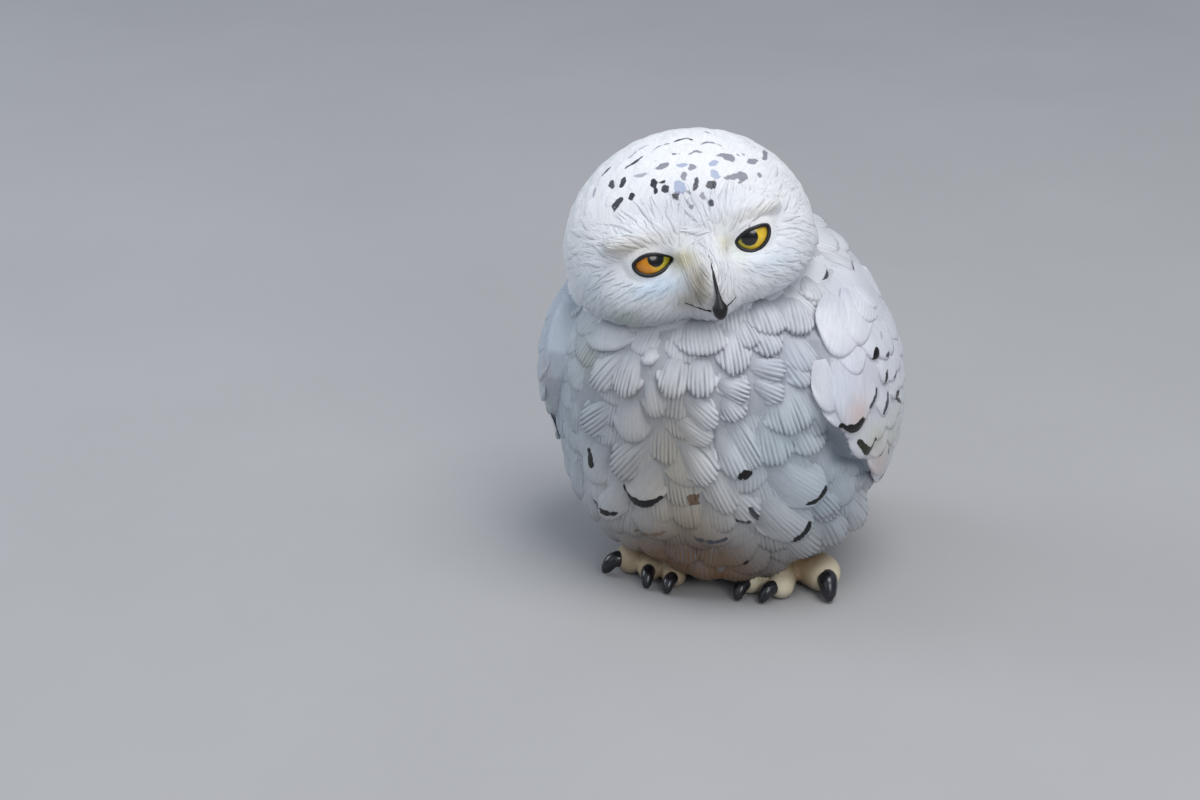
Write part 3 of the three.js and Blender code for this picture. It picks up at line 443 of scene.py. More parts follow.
def stroke_distance(P, strokes, dist=None, ink=None):
    # distance in mm to the nearest stroke's edge, and that stroke's ink
    dist = np.full(len(P), 3.0) if dist is None else dist
    ink = np.tile(INK["K"], (len(P), 1)) if ink is None else ink
    for pts, hw, key in strokes:
        S0 = pts[0]
        key = "C" if key == "K" and S0[2] > 58 else key
        hw = max(hw * (1.25 if key == "C" else 1.55 if S0[2] > 58 and hw > 0.26 else 1.35 if S0[2] > 58 else 1.62 if key in "KO" else 1.45), 0.19)
        S = np.array(pts, float)
        for _ in range(2 if len(S) > 2 else 0):
            S = np.concatenate([S[:1], np.stack([0.75 * S[:-1] + 0.25 * S[1:], 0.25 * S[:-1] + 0.75 * S[1:]], 1).reshape(-1, 3), S[-1:]])
        lo, hi = S.min(0) - hw - 1.5, S.max(0) + hw + 1.5
        near = np.nonzero(((P > lo) & (P < hi)).all(1))[0]
        if not len(near):
            continue
        Q = P[near]
        best = np.full(len(Q), 1e9)
        if len(S) == 1:
            best = np.linalg.norm(Q - S[0], axis=1)
        n = len(S) - 1
        for i in range(n):
            e = S[i + 1] - S[i]
            t = np.clip(((Q - S[i]) @ e) / max(e @ e, 1e-9), 0, 1)
            best = np.minimum(best, np.linalg.norm(Q - S[i] - t[:, None] * e, axis=1) + (0.72 if n > 1 else 0.35) * hw * np.abs(2 * (i + t) / n - 1) ** 2)
        best = best - hw + min(0.55 * hw, 0.16) * cloud(Q, 4.6, 31)
        better = best < dist[near]
        idx = near[better]
        dist[idx] = best[better]; ink[idx] = INK[key]
    return dist, ink

# ------------------------------------------------------------------ mesh making
def make_mesh(name, V, faces, attrs=None, uv=None, material=None, smooth=True):
    # V in mm of the owl's frame; faces is a list of index arrays, each n x 3 or n x 4
    me = bpy.data.meshes.new(name)
    co = ((V + SHIFT) * MM).astype(np.float32)
    faces = [f for f in faces if len(f)]
    loops = np.concatenate([f.reshape(-1) for f in faces]).astype(np.int32)
    sizes = np.concatenate([np.full(len(f), f.shape[1]) for f in faces])
    starts = np.concatenate([[0], np.cumsum(sizes)[:-1]]).astype(np.int32)
    me.vertices.add(len(co)); me.loops.add(len(loops)); me.polygons.add(len(sizes))
    me.vertices.foreach_set("co", co.ravel())
    me.loops.foreach_set("vertex_index", loops)
    me.polygons.foreach_set("loop_start", starts)
    me.polygons.foreach_set("use_smooth", np.full(len(sizes), smooth))
    me.update(calc_edges=True)
    for key, val in (attrs or {}).items():
        val = np.asarray(val, np.float32)
        if val.ndim == 1:
            me.attributes.new(key, "FLOAT", "POINT").data.foreach_set("value", val)
        elif key in ("tint", "ink"):
            c = np.concatenate([val, np.ones((len(val), 1), np.float32)], 1)
            me.attributes.new(key, "FLOAT_COLOR", "POINT").data.foreach_set("color", c.ravel())
        else:
            me.attributes.new(key, "FLOAT_VECTOR", "POINT").data.foreach_set("vector", val.ravel())
    if uv is not None:
        me.uv_layers.new(name="OFBake").data.foreach_set("uv", uv[loops].astype(np.float32).ravel())
    ob = bpy.data.objects.new(name, me)
    bpy.context.scene.collection.objects.link(ob)
    if material:
        me.materials.append(material)
    return ob

def radial_surface(f, az, z, start=46.0):
    # the surface point seen from outside at a bearing (0 is the owl's front, + its left) and a height
    a = np.radians(az); d = np.stack([np.sin(a), -np.cos(a), 0 * a], -1)
    r = np.full(len(d), start)
    for _ in range(45):
        P = d * r[:, None]; P[:, 2] = z
        r = np.maximum(r - 0.85 * f(P), 0.2)
    P = d * r[:, None]; P[:, 2] = z
    return P, np.abs(f(P)) < 0.15

GRID = {}
def grid_faces(nr, nc, rings=2):
    key = (nr, nc, rings)
    if key in GRID:
        return GRID[key]
    idx = np.arange((nr + 1) * (nc + 1)).reshape(nr + 1, nc + 1)
    top = np.stack([idx[:-1, :-1], idx[1:, :-1], idx[1:, 1:], idx[:-1, 1:]], -1).reshape(-1, 4)
    loop = np.concatenate([idx[:-1, 0], idx[-1, :-1], idx[:0:-1, -1], idx[0, :0:-1]])
    m = len(loop); base = (nr + 1) * (nc + 1)
    quads = [top]; prev = loop
    for k in range(rings):
        cur = base + k * m + np.arange(m)
        quads.append(np.stack([np.roll(prev, -1), prev, cur, np.roll(cur, -1)], -1))
        prev = cur
    centre = base + rings * m
    fan = np.stack([np.roll(prev, -1), prev, np.full(m, centre)], -1)
    GRID[key] = (loop, np.concatenate(quads), fan, centre + 1)
    return GRID[key]

class Coat:
    """Gathers feather plates laid on one surface; each plate is a closed body of its own."""
    def __init__(self, field, kind):
        self.field, self.kind = field, kind
        self.depth = {"body": COAT, "wing": WING_COAT, "head": 0.06, "foot": 0.0}[kind]
        self.P, self.h, self.cav, self.lay, self.mark, self.ink, self.uv = [], [], [], [], [], [], []
        self.quads, self.tris, self.n = [], [], 0
        self.count = 0

    def add(self, S, T, H, cav, root, axis, side, nr, nc, out1=0.06, uv0=(0.5, 0.5), mark=None, ink="K", deep=-0.35, lip=0.35):
        # S, T: grids of lengths along and across; H: heights; root: start point; axis, side: unit directions
        loop, quads, fan, total = grid_faces(nr, nc)
        s, t, h = S.ravel(), T.ravel(), H.ravel()
        ls, lt, lh = s[loop], t[loop], h[loop]
        ds, dt = np.roll(ls, -1) - np.roll(ls, 1), np.roll(lt, -1) - np.roll(lt, 1)
        n = np.maximum(np.hypot(ds, dt), 1e-6); os_, ot = dt / n, -ds / n
        r1 = (ls + os_ * out1, lt + ot * out1, lh - lip * np.maximum(lh - deep, 0))
        r2 = (ls + os_ * out1 * 0.3, lt + ot * out1 * 0.3, np.full(len(loop), deep))
        s = np.concatenate([s, r1[0], r2[0], [ls.mean()]]); t = np.concatenate([t, r1[1], r2[1], [lt.mean()]])
        h = np.concatenate([h, r1[2], r2[2], [deep]])
        # painted shade: each plate's rim and the wall beneath it are darker
        c = cav.ravel(); c = np.concatenate([c, c[loop] + 0.15, c[loop] + 0.45, [0.6]])
        mk = np.full(total, 3.0) if mark is None else np.concatenate([mark.ravel(), mark.ravel()[loop], mark.ravel()[loop], [3.0]])
        self.P.append(root + s[:, None] * axis + t[:, None] * side)
        self.h.append(h); self.cav.append(c)
        self.lay.append(np.stack([t, s, np.full(total, (self.count * 7.31) % 97.0)], -1))
        self.mark.append(mk); self.ink.append(np.tile(INK[ink], (total, 1)))
        L, W = max(np.ptp(s), 1e-6), max(np.ptp(t), 1e-6)
        self.uv.append(np.stack([uv0[0] + 0.0028 * ((t - t.min()) / W - 0.5), uv0[1] + 0.0028 * ((s - s.min()) / L - 0.5)], -1))
        self.quads.append(quads + self.n); self.tris.append(fan + self.n)
        self.n += total; self.count += 1

    def build(self, name, material, strokes=(), steps=3, limit=1.5):
        if not self.n:
            return None
        P = np.concatenate(self.P); h = np.concatenate(self.h)
        P = settle(self.field, P, steps, limit=limit)
        N = unit(gradient(self.field, P))
        dist, ink = np.concatenate(self.mark), np.concatenate(self.ink)
        dist, ink = stroke_distance(P + N * self.depth, strokes, dist, ink)
        P = P + N * h[:, None]
        P[:, 2] = np.maximum(P[:, 2], 0.06)
        ob = make_mesh(name, P, [np.concatenate(self.quads), np.concatenate(self.tris)],
                       {"tint": tint_of(P, self.kind), "ink": ink, "mark": dist, "cav": np.clip(np.concatenate(self.cav), 0, 1),
                        "lay": np.concatenate(self.lay)}, np.concatenate(self.uv), material)
        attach(ob, "root")
        return ob

def unwrap(P, kind):
    # a place for a root on one flat chart: trunk and tail left, wings lower right, head upper right
    az = np.degrees(np.arctan2(P[..., 0], -P[..., 1]))
    if kind == "head":
        q = to_head(P)
        a = np.degrees(np.arctan2(q[..., 0], -q[..., 1])); e = np.degrees(np.arctan2(q[..., 2], np.hypot(q[..., 0], q[..., 1])))
        return np.stack([0.53 + 0.44 * (a + 180) / 360, 0.52 + 0.46 * (e + 90) / 180], -1)
    if kind == "wing":
        return np.stack([0.53 + 0.44 * (az + 180) / 360, 0.02 + 0.46 * P[..., 2] / 55], -1)
    return np.stack([0.02 + 0.46 * (az + 180) / 360, 0.02 + 0.94 * P[..., 2] / 55], -1)

def frame_at(field, root, tip):
    mid = (root + tip) / 2
    axis = unit(tip - root)
    n = unit(gradient(field, mid))
    n = unit(n - (n * axis).sum(-1, keepdims=True) * axis)
    return axis, np.cross(n, axis)

def feather(coat, root, tip, width, comb, lift, axis, side, pitch=0.62, rows=16, nose=0.33, power=2.5, narrow=0.45,
            mark=None, ink="K", deep=-0.35, dome=0.50, sink=0.85, cells=4, step=0.42):
    """One feather: narrow at the root, fanned, with a rounded end and combed grooves toward it."""
    L = np.linalg.norm(tip - root)
    n = max(3, int(round(width / pitch)))
    nc = n * cells if comb > 0.05 else max(12, int(round(width / step)))
    x = np.linspace(0, 1, nc + 1) * n
    u = 2 * x / n - 1
    u = u + (0.10 / n) * np.interp(x, np.arange(n + 1), rng.uniform(-1, 1, n + 1)) * (1 - u * u)
    v = (np.arange(rows + 1) / rows) ** 0.88
    U, V = np.meshgrid(u, v); X = np.meshgrid(x, v)[0]
    fr = np.abs(X - np.round(X))
    k = np.round(X).astype(int)
    depth = rng.uniform(0.3, 1.2, n + 1)[k]; onset = rng.uniform(0.16, 0.56, n + 1)[k]
    edge = (k > 0) & (k < n)
    groove = np.exp(-(fr / 0.19) ** 2) * depth * edge * comb * np.clip((V - onset) / 0.35, 0, 1)
    ridge_len = np.interp(X, np.arange(n) + 0.5, rng.uniform(-1, 1, n))
    lean = rng.uniform(-0.10, 0.10)
    end = L * (1 - nose * np.abs(U + lean) ** power) + comb * (0.20 * ridge_len - 0.36 * np.exp(-(fr / 0.2) ** 2) * edge)
    S = end * V
    w = narrow + (1 - narrow) * np.sin(np.clip(V / 0.8, 0, 1) * math.pi / 2) ** 1.1
    T = width / 2 * U * w + rng.uniform(-0.25, 0.25) * V * V * width / 8
    rise = 1 - (1 - V) ** 1.35
    H = -0.3 + (lift + 0.3) * rise * (1 - dome * U * U - sink * (1 - sstep(0.6, 1.02, V)) * np.abs(U) ** 2.4) - 0.30 * min(lift, 1.0) * (np.clip(V - 0.80, 0, 1) / 0.2) ** 2 - 0.10 * min(lift, 1.0) * np.abs(U) ** 6
    H = H + comb * (0.10 * np.sin(math.pi * (X % 1.0)) * V) - 0.32 * groove
    # darker in the grooves, a wash with painted shade, and at the root, painted shade under the ends of the feathers
    # above
    cav = 1.0 * groove + 0.72 * (1 - sstep(0.05, 0.66, V))
    if mark is not None:
        back, hw, span = mark                 # a crescent set back from the end, its half width and half span
        d = np.abs(end - S - back) - hw * (1 - 0.92 * np.minimum((U / span) ** 2, 1.5))
        mark = np.maximum(d, (np.abs(U) - span) * width / 2)
    coat.add(S, T, H, cav, root, axis, side, rows, nc, uv0=unwrap(root, coat.kind), mark=mark, ink=ink, deep=deep)

# ------------------------------------------------------------------ paints
def nodes_of(mat):
    mat.use_nodes = True
    nt = mat.node_tree; nt.nodes.clear()
    return nt
def node(nt, kind, **kw):
    n = nt.nodes.new(kind)
    for k, v in kw.items():
        if k == "inputs":
            for i, val in v.items():
                n.inputs[i].default_value = val
        else:
            setattr(n, k, v)
    return n
def attr(nt, name):
    return node(nt, "ShaderNodeAttribute", attribute_name=name)
def math_node(nt, op, a, b=None, clamp=False):
    n = node(nt, "ShaderNodeMath", operation=op); n.use_clamp = clamp
    for i, v in enumerate((a, b)):
        if v is None:
            continue
        if isinstance(v, (int, float)):
            n.inputs[i].default_value = v
        else:
            nt.links.new(v, n.inputs[i])
    return n.outputs[0]
def mix(nt, fac, a, b, blend_type="MIX"):
    n = node(nt, "ShaderNodeMix", data_type="RGBA", blend_type=blend_type)
    for sock, v in ((n.inputs[0], fac), (n.inputs[6], a), (n.inputs[7], b)):
        if isinstance(v, (int, float)):
            sock.default_value = v
        elif isinstance(v, (tuple, list, np.ndarray)):
            sock.default_value = tuple(float(c) for c in v)[:3] + (1.0,)
        else:
            nt.links.new(v, sock)
    return n.outputs[2]

def paint(name, rough=0.52, wash_and_shade_colour=(0.42, 0.47, 0.53), wash_and_shade_amount=0.5, streak=0.5, grain=0.25):
    mat = bpy.data.materials.new(name); nt = nodes_of(mat)
    out = node(nt, "ShaderNodeOutputMaterial"); bsdf = node(nt, "ShaderNodeBsdfPrincipled")
    nt.links.new(bsdf.outputs[0], out.inputs[0])
    lay, tint, ink = attr(nt, "lay"), attr(nt, "tint"), attr(nt, "ink")
    cav, mark = attr(nt, "cav").outputs["Fac"], attr(nt, "mark").outputs["Fac"]
    tex = node(nt, "ShaderNodeTexCoord")
    # brush strokes run along the feather
    stretch = node(nt, "ShaderNodeVectorMath", operation="MULTIPLY"); stretch.inputs[1].default_value = (3.4, 0.42, 1.0)
    nt.links.new(lay.outputs["Vector"], stretch.inputs[0])
    strokes = node(nt, "ShaderNodeTexNoise", inputs={"Scale": 1.0, "Detail": 3.0, "Roughness": 0.6})
    nt.links.new(stretch.outputs[0], strokes.inputs["Vector"])
    speck = node(nt, "ShaderNodeTexNoise", inputs={"Scale": 1500.0, "Detail": 4.0, "Roughness": 0.62})
    nt.links.new(tex.outputs["Object"], speck.inputs["Vector"])
    slow = node(nt, "ShaderNodeTexNoise", inputs={"Scale": 260.0, "Detail": 3.0, "Roughness": 0.55})
    nt.links.new(tex.outputs["Object"], slow.inputs["Vector"])
    # a wash settles in the grooves, and painted shade darkens them, the feather roots, the plates' rims and the bare
    # skin
    wash_and_shade_mix = math_node(nt, "MULTIPLY", cav, wash_and_shade_amount)
    wash_and_shade_mix = math_node(nt, "MULTIPLY", wash_and_shade_mix, math_node(nt, "ADD", math_node(nt, "MULTIPLY", slow.outputs["Fac"], 1.3), 0.35), clamp=True)
    col = mix(nt, wash_and_shade_mix, tint.outputs["Color"], wash_and_shade_colour)
    shade = node(nt, "ShaderNodeMapRange", inputs={"From Min": 0.3, "From Max": 0.7, "To Min": 0.90, "To Max": 1.05})
    nt.links.new(strokes.outputs["Fac"], shade.inputs[0])
    grey = node(nt, "ShaderNodeCombineColor")
    for i in range(3):
        nt.links.new(shade.outputs[0], grey.inputs[i])
    col = mix(nt, 1.0, col, grey.outputs[0], "MULTIPLY")
    # dark marks with a slightly ragged brushed edge
    ragged = math_node(nt, "ADD", mark, math_node(nt, "MULTIPLY", math_node(nt, "SUBTRACT", speck.outputs["Fac"], 0.5), 0.34))
    inked = node(nt, "ShaderNodeMapRange", inputs={"From Min": -0.05, "From Max": 0.07, "To Min": 1.0, "To Max": 0.0})
    nt.links.new(ragged, inked.inputs[0])
    cover = node(nt, "ShaderNodeMapRange", inputs={"From Min": 0.62, "From Max": 0.72, "To Min": 1.0, "To Max": 0.74})
    nt.links.new(speck.outputs["Fac"], cover.inputs[0])
    col = mix(nt, math_node(nt, "MULTIPLY", inked.outputs[0], cover.outputs[0]), col, ink.outputs["Color"])
    nt.links.new(col, bsdf.inputs["Base Color"])
    ro = node(nt, "ShaderNodeMapRange", inputs={"From Min": 0.3, "From Max": 0.7, "To Min": rough - 0.07, "To Max": rough + 0.09})
    nt.links.new(slow.outputs["Fac"], ro.inputs[0])
    nt.links.new(math_node(nt, "SUBTRACT", ro.outputs[0], math_node(nt, "MULTIPLY", inked.outputs[0], 0.12)), bsdf.inputs["Roughness"])
    b1 = node(nt, "ShaderNodeBump", inputs={"Strength": streak, "Distance": 0.00016})
    nt.links.new(strokes.outputs["Fac"], b1.inputs["Height"])
    b2 = node(nt, "ShaderNodeBump", inputs={"Strength": grain, "Distance": 0.00007})
    nt.links.new(speck.outputs["Fac"], b2.inputs["Height"]); nt.links.new(b1.outputs[0], b2.inputs["Normal"])
    nt.links.new(b2.outputs[0], bsdf.inputs["Normal"])
    bsdf.inputs["IOR"].default_value = 1.45
    return mat

def gloss(name, colour, edge, rough, scale):
    mat = bpy.data.materials.new(name); nt = nodes_of(mat)
    out = node(nt, "ShaderNodeOutputMaterial"); bsdf = node(nt, "ShaderNodeBsdfPrincipled")
    nt.links.new(bsdf.outputs[0], out.inputs[0])
    tex = node(nt, "ShaderNodeTexCoord")
    n = node(nt, "ShaderNodeTexNoise", inputs={"Scale": scale, "Detail": 3.0, "Roughness": 0.55})
    nt.links.new(tex.outputs["Object"], n.inputs["Vector"])
    m = node(nt, "ShaderNodeMapRange", inputs={"From Min": 0.42, "From Max": 0.72, "To Min": 0.0, "To Max": 1.0})
    nt.links.new(n.outputs["Fac"], m.inputs[0])
    nt.links.new(mix(nt, m.outputs[0], colour, edge), bsdf.inputs["Base Color"])
    r = node(nt, "ShaderNodeMapRange", inputs={"From Min": 0.3, "From Max": 0.7, "To Min": rough, "To Max": rough + 0.14})
    nt.links.new(n.outputs["Fac"], r.inputs[0]); nt.links.new(r.outputs[0], bsdf.inputs["Roughness"])
    b = node(nt, "ShaderNodeBump", inputs={"Strength": 0.2, "Distance": 0.00006})
    nt.links.new(n.outputs["Fac"], b.inputs["Height"]); nt.links.new(b.outputs[0], bsdf.inputs["Normal"])
    bsdf.inputs["Coat Weight"].default_value = 0.35; bsdf.inputs["Coat Roughness"].default_value = 0.12
    return mat

def eye_paint(name):
    mat = bpy.data.materials.new(name); nt = nodes_of(mat)
    out = node(nt, "ShaderNodeOutputMaterial"); bsdf = node(nt, "ShaderNodeBsdfPrincipled")
    nt.links.new(bsdf.outputs[0], out.inputs[0])
    tex = node(nt, "ShaderNodeTexCoord")
    n = node(nt, "ShaderNodeTexNoise", inputs={"Scale": 1800.0, "Detail": 3.0, "Roughness": 0.6})
    nt.links.new(tex.outputs["Object"], n.inputs["Vector"])
    tint, pupil = attr(nt, "tint"), attr(nt, "mark").outputs["Fac"]
    wob = math_node(nt, "ADD", pupil, math_node(nt, "MULTIPLY", math_node(nt, "SUBTRACT", n.outputs["Fac"], 0.5), 0.12))
    m = node(nt, "ShaderNodeMapRange", inputs={"From Min": -0.04, "From Max": 0.05, "To Min": 1.0, "To Max": 0.0})
    nt.links.new(wob, m.inputs[0])
    v = node(nt, "ShaderNodeMapRange", inputs={"From Min": 0.3, "From Max": 0.7, "To Min": 0.86, "To Max": 1.08})
    nt.links.new(n.outputs["Fac"], v.inputs[0])
    grey = node(nt, "ShaderNodeCombineColor")
    for i in range(3):
        nt.links.new(v.outputs[0], grey.inputs[i])
    col = mix(nt, 1.0, tint.outputs["Color"], grey.outputs[0], "MULTIPLY")
    nt.links.new(mix(nt, m.outputs[0], col, rgb(10, 10, 12)), bsdf.inputs["Base Color"])
    r = node(nt, "ShaderNodeMapRange", inputs={"From Min": 0.3, "From Max": 0.7, "To Min": 0.16, "To Max": 0.26})
    nt.links.new(n.outputs["Fac"], r.inputs[0]); nt.links.new(r.outputs[0], bsdf.inputs["Roughness"])
    bsdf.inputs["Coat Weight"].default_value = 0.6; bsdf.inputs["Coat Roughness"].default_value = 0.08
    return mat

white = paint("white_paint", wash_and_shade_colour=(0.25, 0.265, 0.30), wash_and_shade_amount=0.80)
head_white = paint("head_paint", wash_and_shade_colour=(0.36, 0.39, 0.44), wash_and_shade_amount=0.50)
wing_white = paint("wing_paint", rough=0.48, wash_and_shade_colour=(0.40, 0.42, 0.50), wash_and_shade_amount=0.45, streak=0.3)
cream = paint("cream_paint", rough=0.45, wash_and_shade_colour=(0.30, 0.24, 0.16), wash_and_shade_amount=0.6)
black = gloss("black_gloss", rgb(14, 14, 18), rgb(34, 32, 42), 0.22, 900.0)
rim_black = gloss("rim_black", rgb(10, 10, 12), rgb(20, 20, 24), 0.42, 900.0)
rim_black.node_tree.nodes["Principled BSDF"].inputs["Coat Weight"].default_value = 0.05
amber = eye_paint("amber_eye")

# ------------------------------------------------------------------ the skin
def axis_steps(parts):
    out = []
    for a, b, s in parts:
        n = max(1, round((b - a) / s)); out += list(a + (b - a) * np.arange(n) / n)
    return np.array(out + [parts[-1][1]])
gx = axis_steps([(-29.0, -18.5, 0.45), (-18.5, 14.5, 0.27), (14.5, 29.0, 0.45)])
gy = axis_steps([(-26.0, -8.0, 0.29), (-8.0, 36.0, 0.65)])
gz = axis_steps([(-0.6, 7.0, 0.34), (7.0, 42.0, 0.65), (42.0, 61.5, 0.27), (61.5, 71.0, 0.36)])
V, quads = net_surface(skin_field, gx, gy, gz)
V = settle(skin_field, V, 2, limit=0.2)
q = to_head(V)
in_head = head_field(q[:, 0], q[:, 1], q[:, 2], eyes=False) + 0.06 < 0.9
in_foot = (V[:, 2] < 7.5) & (feet_field(V) < 0.6)
in_wing = (wing_edge(V) < np.where((V[:, 2] > 43.5) & (V[:, 1] > -9.5), 1.7, np.where((V[:, 1] < 0) & (V[:, 0] > 0), -0.6, 0.6))) & (wing_field(V) + WING_COAT < 0.8) & ~in_head & ~in_foot
tint = tint_of(V, "body")
for sel, kind in ((in_wing, "wing"), (in_head, "head"), (in_foot, "foot")):
    tint[sel] = tint_of(V[sel], kind)
mark, ink = stroke_distance(V, MARKS["crown"])
# strokes of the brush on the head spread from the inner corner of each eye
sgn = np.where(q[:, 0] >= 0, 1.0, -1.0)
fx, fz = q[:, 0] - 3.2 * sgn, q[:, 2] - 1.2
lay = np.stack([np.arctan2(fz, fx) * (2.0 + 0.55 * np.hypot(fx, fz)), np.hypot(fx, fz), sgn * 5], -1)
lay[~in_head] = np.stack([V[:, 0] + V[:, 1], V[:, 2], V[:, 0] * 0], -1)[~in_head]
# painted shade on the skin: dark where it shows between the feathers, light under the wing, and on the feet toward the
# floor
cav = np.zeros(len(V))
cav[~in_head & ~in_foot] = 0.55; cav[in_wing] = 0.12
cav = np.maximum(cav, np.where(in_foot, 0.5 * sstep(2.2, 0.2, V[:, 2]), 0))
skin = make_mesh("skin", V, [quads], {"tint": tint, "ink": ink, "mark": mark, "cav": cav, "lay": lay}, None, white)
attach(skin, "root")
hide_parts("head", "trunk", "wing_left", "wing_right", "tail", "foot_left", "foot_right")

# ------------------------------------------------------------------ body feathers
body_surface = lambda P: trunk_field(P) + COAT
def head_over(P):
    q = to_head(P); return head_field(q[..., 0], q[..., 1], q[..., 2], eyes=False)

# [bearing and height of the root, of the tip, width, combing, lift]
FEATHERS = [
    (-39, 45.1, -33, 40, 9.5, 0.15, 1),  
    (-23, 41.8, -35, 34.5, 5.2, 1, 1), (-21, 42, -22, 34.6, 5.5, 1, 1.1), (-15, 42.8, -13, 39.7, 3.1, 0.1, 0.8),
    (-2, 42.6, -3, 35.9, 5.5, 1, 1.1), (6, 42.9, 8, 36.4, 5.2, 1, 1), (2, 46.9, 8, 41.8, 8.6, 0.6, 1.2),
    (17, 46.3, 21, 39.6, 5.5, 1, 1.1), (22, 46.9, 28, 42.9, 4.3, 1, 0.9), (-13, 38.7, -9, 32.2, 4.3, 0.6, 0.9),
    (-21, 36.4, -20, 27.4, 6.8, 0.15, 0.9), (-1, 36.6, 14, 32.2, 5.2, 0.7, 1), (-5, 32.9, 12, 29.4, 4.9, 0.3, 0.9),
    (0, 29.3, 13, 23.4, 6.2, 0.9, 1.2), (-25, 33.1, -41, 27.2, 5.8, 0.9, 1), (-10, 29.3, -27, 21.3, 6.2, 0.8, 1),
    (-11, 26.6, -17, 17.3, 7.1, 0.15, 1.1), (-21, 22.9, -38, 12.7, 5.8, 0.2, 1), (-10, 19.9, -15, 11.5, 9.2, 0.2, 0.8),
    (-11, 14.7, -22, 6.4, 8, 0.2, 0.7), (13, 19.8, 14, 11.7, 8.6, 0.2, 0.8), (14, 16.2, 27, 8, 8.9, 0.2, 0.8),
    (36, 48.7, 37, 44.3, 5.8, 1, 1.1), (57, 48.5, 47, 44.1, 5.8, 1, 1.1), (81, 49.9, 65, 46.6, 5.4, 0.8, 1.1),
    (31, 46.5, 35, 41.9, 4.9, 0.9, 1), (23, 41.1, 38, 39.9, 4.6, 1, 1.1), (25, 38.7, 37, 36.6, 4.3, 0.8, 0.9),
    (12, 38.7, 25, 36.9, 4.9, 1, 1.1), (15, 36.9, 22, 33.4, 4.9, 0.8, 1), (42, 45.3, 47, 39.5, 5.8, 0.7, 0.9),
    (38, 42.8, 46, 37.8, 4.6, 0.6, 0.8), (36, 38.8, 41, 31.1, 8.6, 0.9, 1.2), (42, 38.2, 51, 30.4, 5.5, 0.6, 1),
    (41, 34.3, 49, 27.4, 6.5, 0.5, 1), (16, 34.7, 29, 25.6, 5.8, 0.9, 1), (13, 32.8, 24, 23.9, 5.5, 0.7, 1),
    (30, 34.6, 36, 26.1, 7.4, 0.9, 1.1), (30, 26.6, 53, 19.3, 8.3, 0.15, 1.3), (45, 22.9, 63, 15.1, 5.8, 0.9, 1),
    (26, 22.1, 50, 13.2, 8.3, 0.4, 1.2), (15, 22.7, 30, 16.7, 5.5, 0.6, 1), (8, 27.5, 20, 17.8, 5.2, 0.7, 1),
    (17, 15.2, 37, 6, 7.7, 0.3, 0.7), (55, 25.6, 69, 16.9, 6.2, 0.1, 0.8), (46, 18.4, 69, 7.4, 4.6, 0.6, 0.8),
    (-30, 27.3, -43, 18.5, 6.5, 0.2, 0.9), (37, 16.2, 60, 9, 6.8, 0.8, 1.1), (55, 17.7, 70, 10.5, 6.2, 0.8, 1.3),
    (65, 19.0, 80, 12, 6.2, 0.8, 1.4),
]
F = np.array(FEATHERS, float)
root, ok1 = radial_surface(body_surface, F[:, 0], F[:, 1])
tip, ok2 = radial_surface(body_surface, F[:, 2], F[:, 3])
ok = ok1 & ok2
main = [(root[i], tip[i], F[i, 4], F[i, 5], F[i, 6] * (2.0 if F[i, 3] < 14 else 1.7 if F[i, 3] < 24 else 1.45 if 33 < F[i, 3] < 37.5 else 1.3)) for i in np.nonzero(ok)[0]]

# the rest of the coat: staggered rows pointing down, leaning away from the middle
rows, k = [], 0
z = 51.5
while z > 4.5:
    ring, good = radial_surface(body_surface, np.arange(0, 360, 10.0), np.full(36, z))
    rad = np.hypot(ring[good, 0], ring[good, 1]).mean() if good.any() else 15
    count = max(12, int(round(2 * math.pi * rad / 5.4)))
    az = (np.arange(count) + 0.5 * (k % 2)) * 360 / count - 180 + rng.uniform(-2.2, 2.2, count)
    lean = 9 * np.sin(np.radians(az)) * (np.abs(az) < 100) + rng.uniform(-4, 4, count)
    length = rng.uniform(7.6, 9.2, count) * (0.82 if z > 40 else 1.0)
    rows += [(a, z + rng.uniform(-0.5, 0.5) + 0.45 * l, a + e, z - 0.5 * l, rng.uniform(6.0, 7.6), rng.uniform(0.15, 0.95), rng.uniform(0.6, 0.85) * (0.45 if (abs(a) < 62 and z > 27) else 1.0) * (2.1 if z < 12 else 1.7 if z < 20 else 1.0))
             for a, e, l in zip(az, lean, length)]
    z -= 3.7; k += 1
G = np.array(rows)
G[:, 3] = np.maximum(G[:, 3], 2.75)
root2, g1 = radial_surface(body_surface, G[:, 0], G[:, 1])
tip2, g2 = radial_surface(body_surface, G[:, 2], G[:, 3])
mid2 = (root2 * 0.35 + tip2 * 0.65)
low = unit(gradient(body_surface, mid2))
lifted = mid2 + low * 0.9
covered = ((wing_edge(lifted) < -1.2) & (np.abs(lifted[:, 0]) > 5) & (wing_field(lifted) + WING_COAT < -0.2)) | (head_over(lifted) < -0.9)
inside_foot = feet_field(mid2) < -0.6
tips_main = np.array([m[1] for m in main]); mids_main = np.array([m[0] * 0.3 + m[1] * 0.7 for m in main])
close = (np.linalg.norm(tip2[:, None] - tips_main[None], axis=2).min(1) < 1.9) | (np.linalg.norm(mid2[:, None] - mids_main[None], axis=2).min(1) < 1.7)
length_ok = (np.linalg.norm(tip2 - root2, axis=1) > 3) & (np.linalg.norm(tip2 - root2, axis=1) < 16)
fill = [(root2[i], tip2[i], G[i, 4], G[i, 5], G[i, 6], tip2[i][1]) for i in np.nonzero(g1 & g2 & ~covered & ~close & ~inside_foot & length_ok)[0]]

def lay_feathers(name, items, field, kind, material, slot, strokes=(), **kw):
    coat = Coat(field, kind)
    R = np.array([i[0] for i in items]); T = np.array([i[1] for i in items])
    axis, side = frame_at(field, R, T)
    for n, it in enumerate(items):
        extra = it[5] if len(it) > 5 and isinstance(it[5], dict) else {}
        feather(coat, it[0], it[1], it[2], it[3], it[4], axis[n], side[n], **{**kw, **extra})
    return coat.build(name, material, strokes)

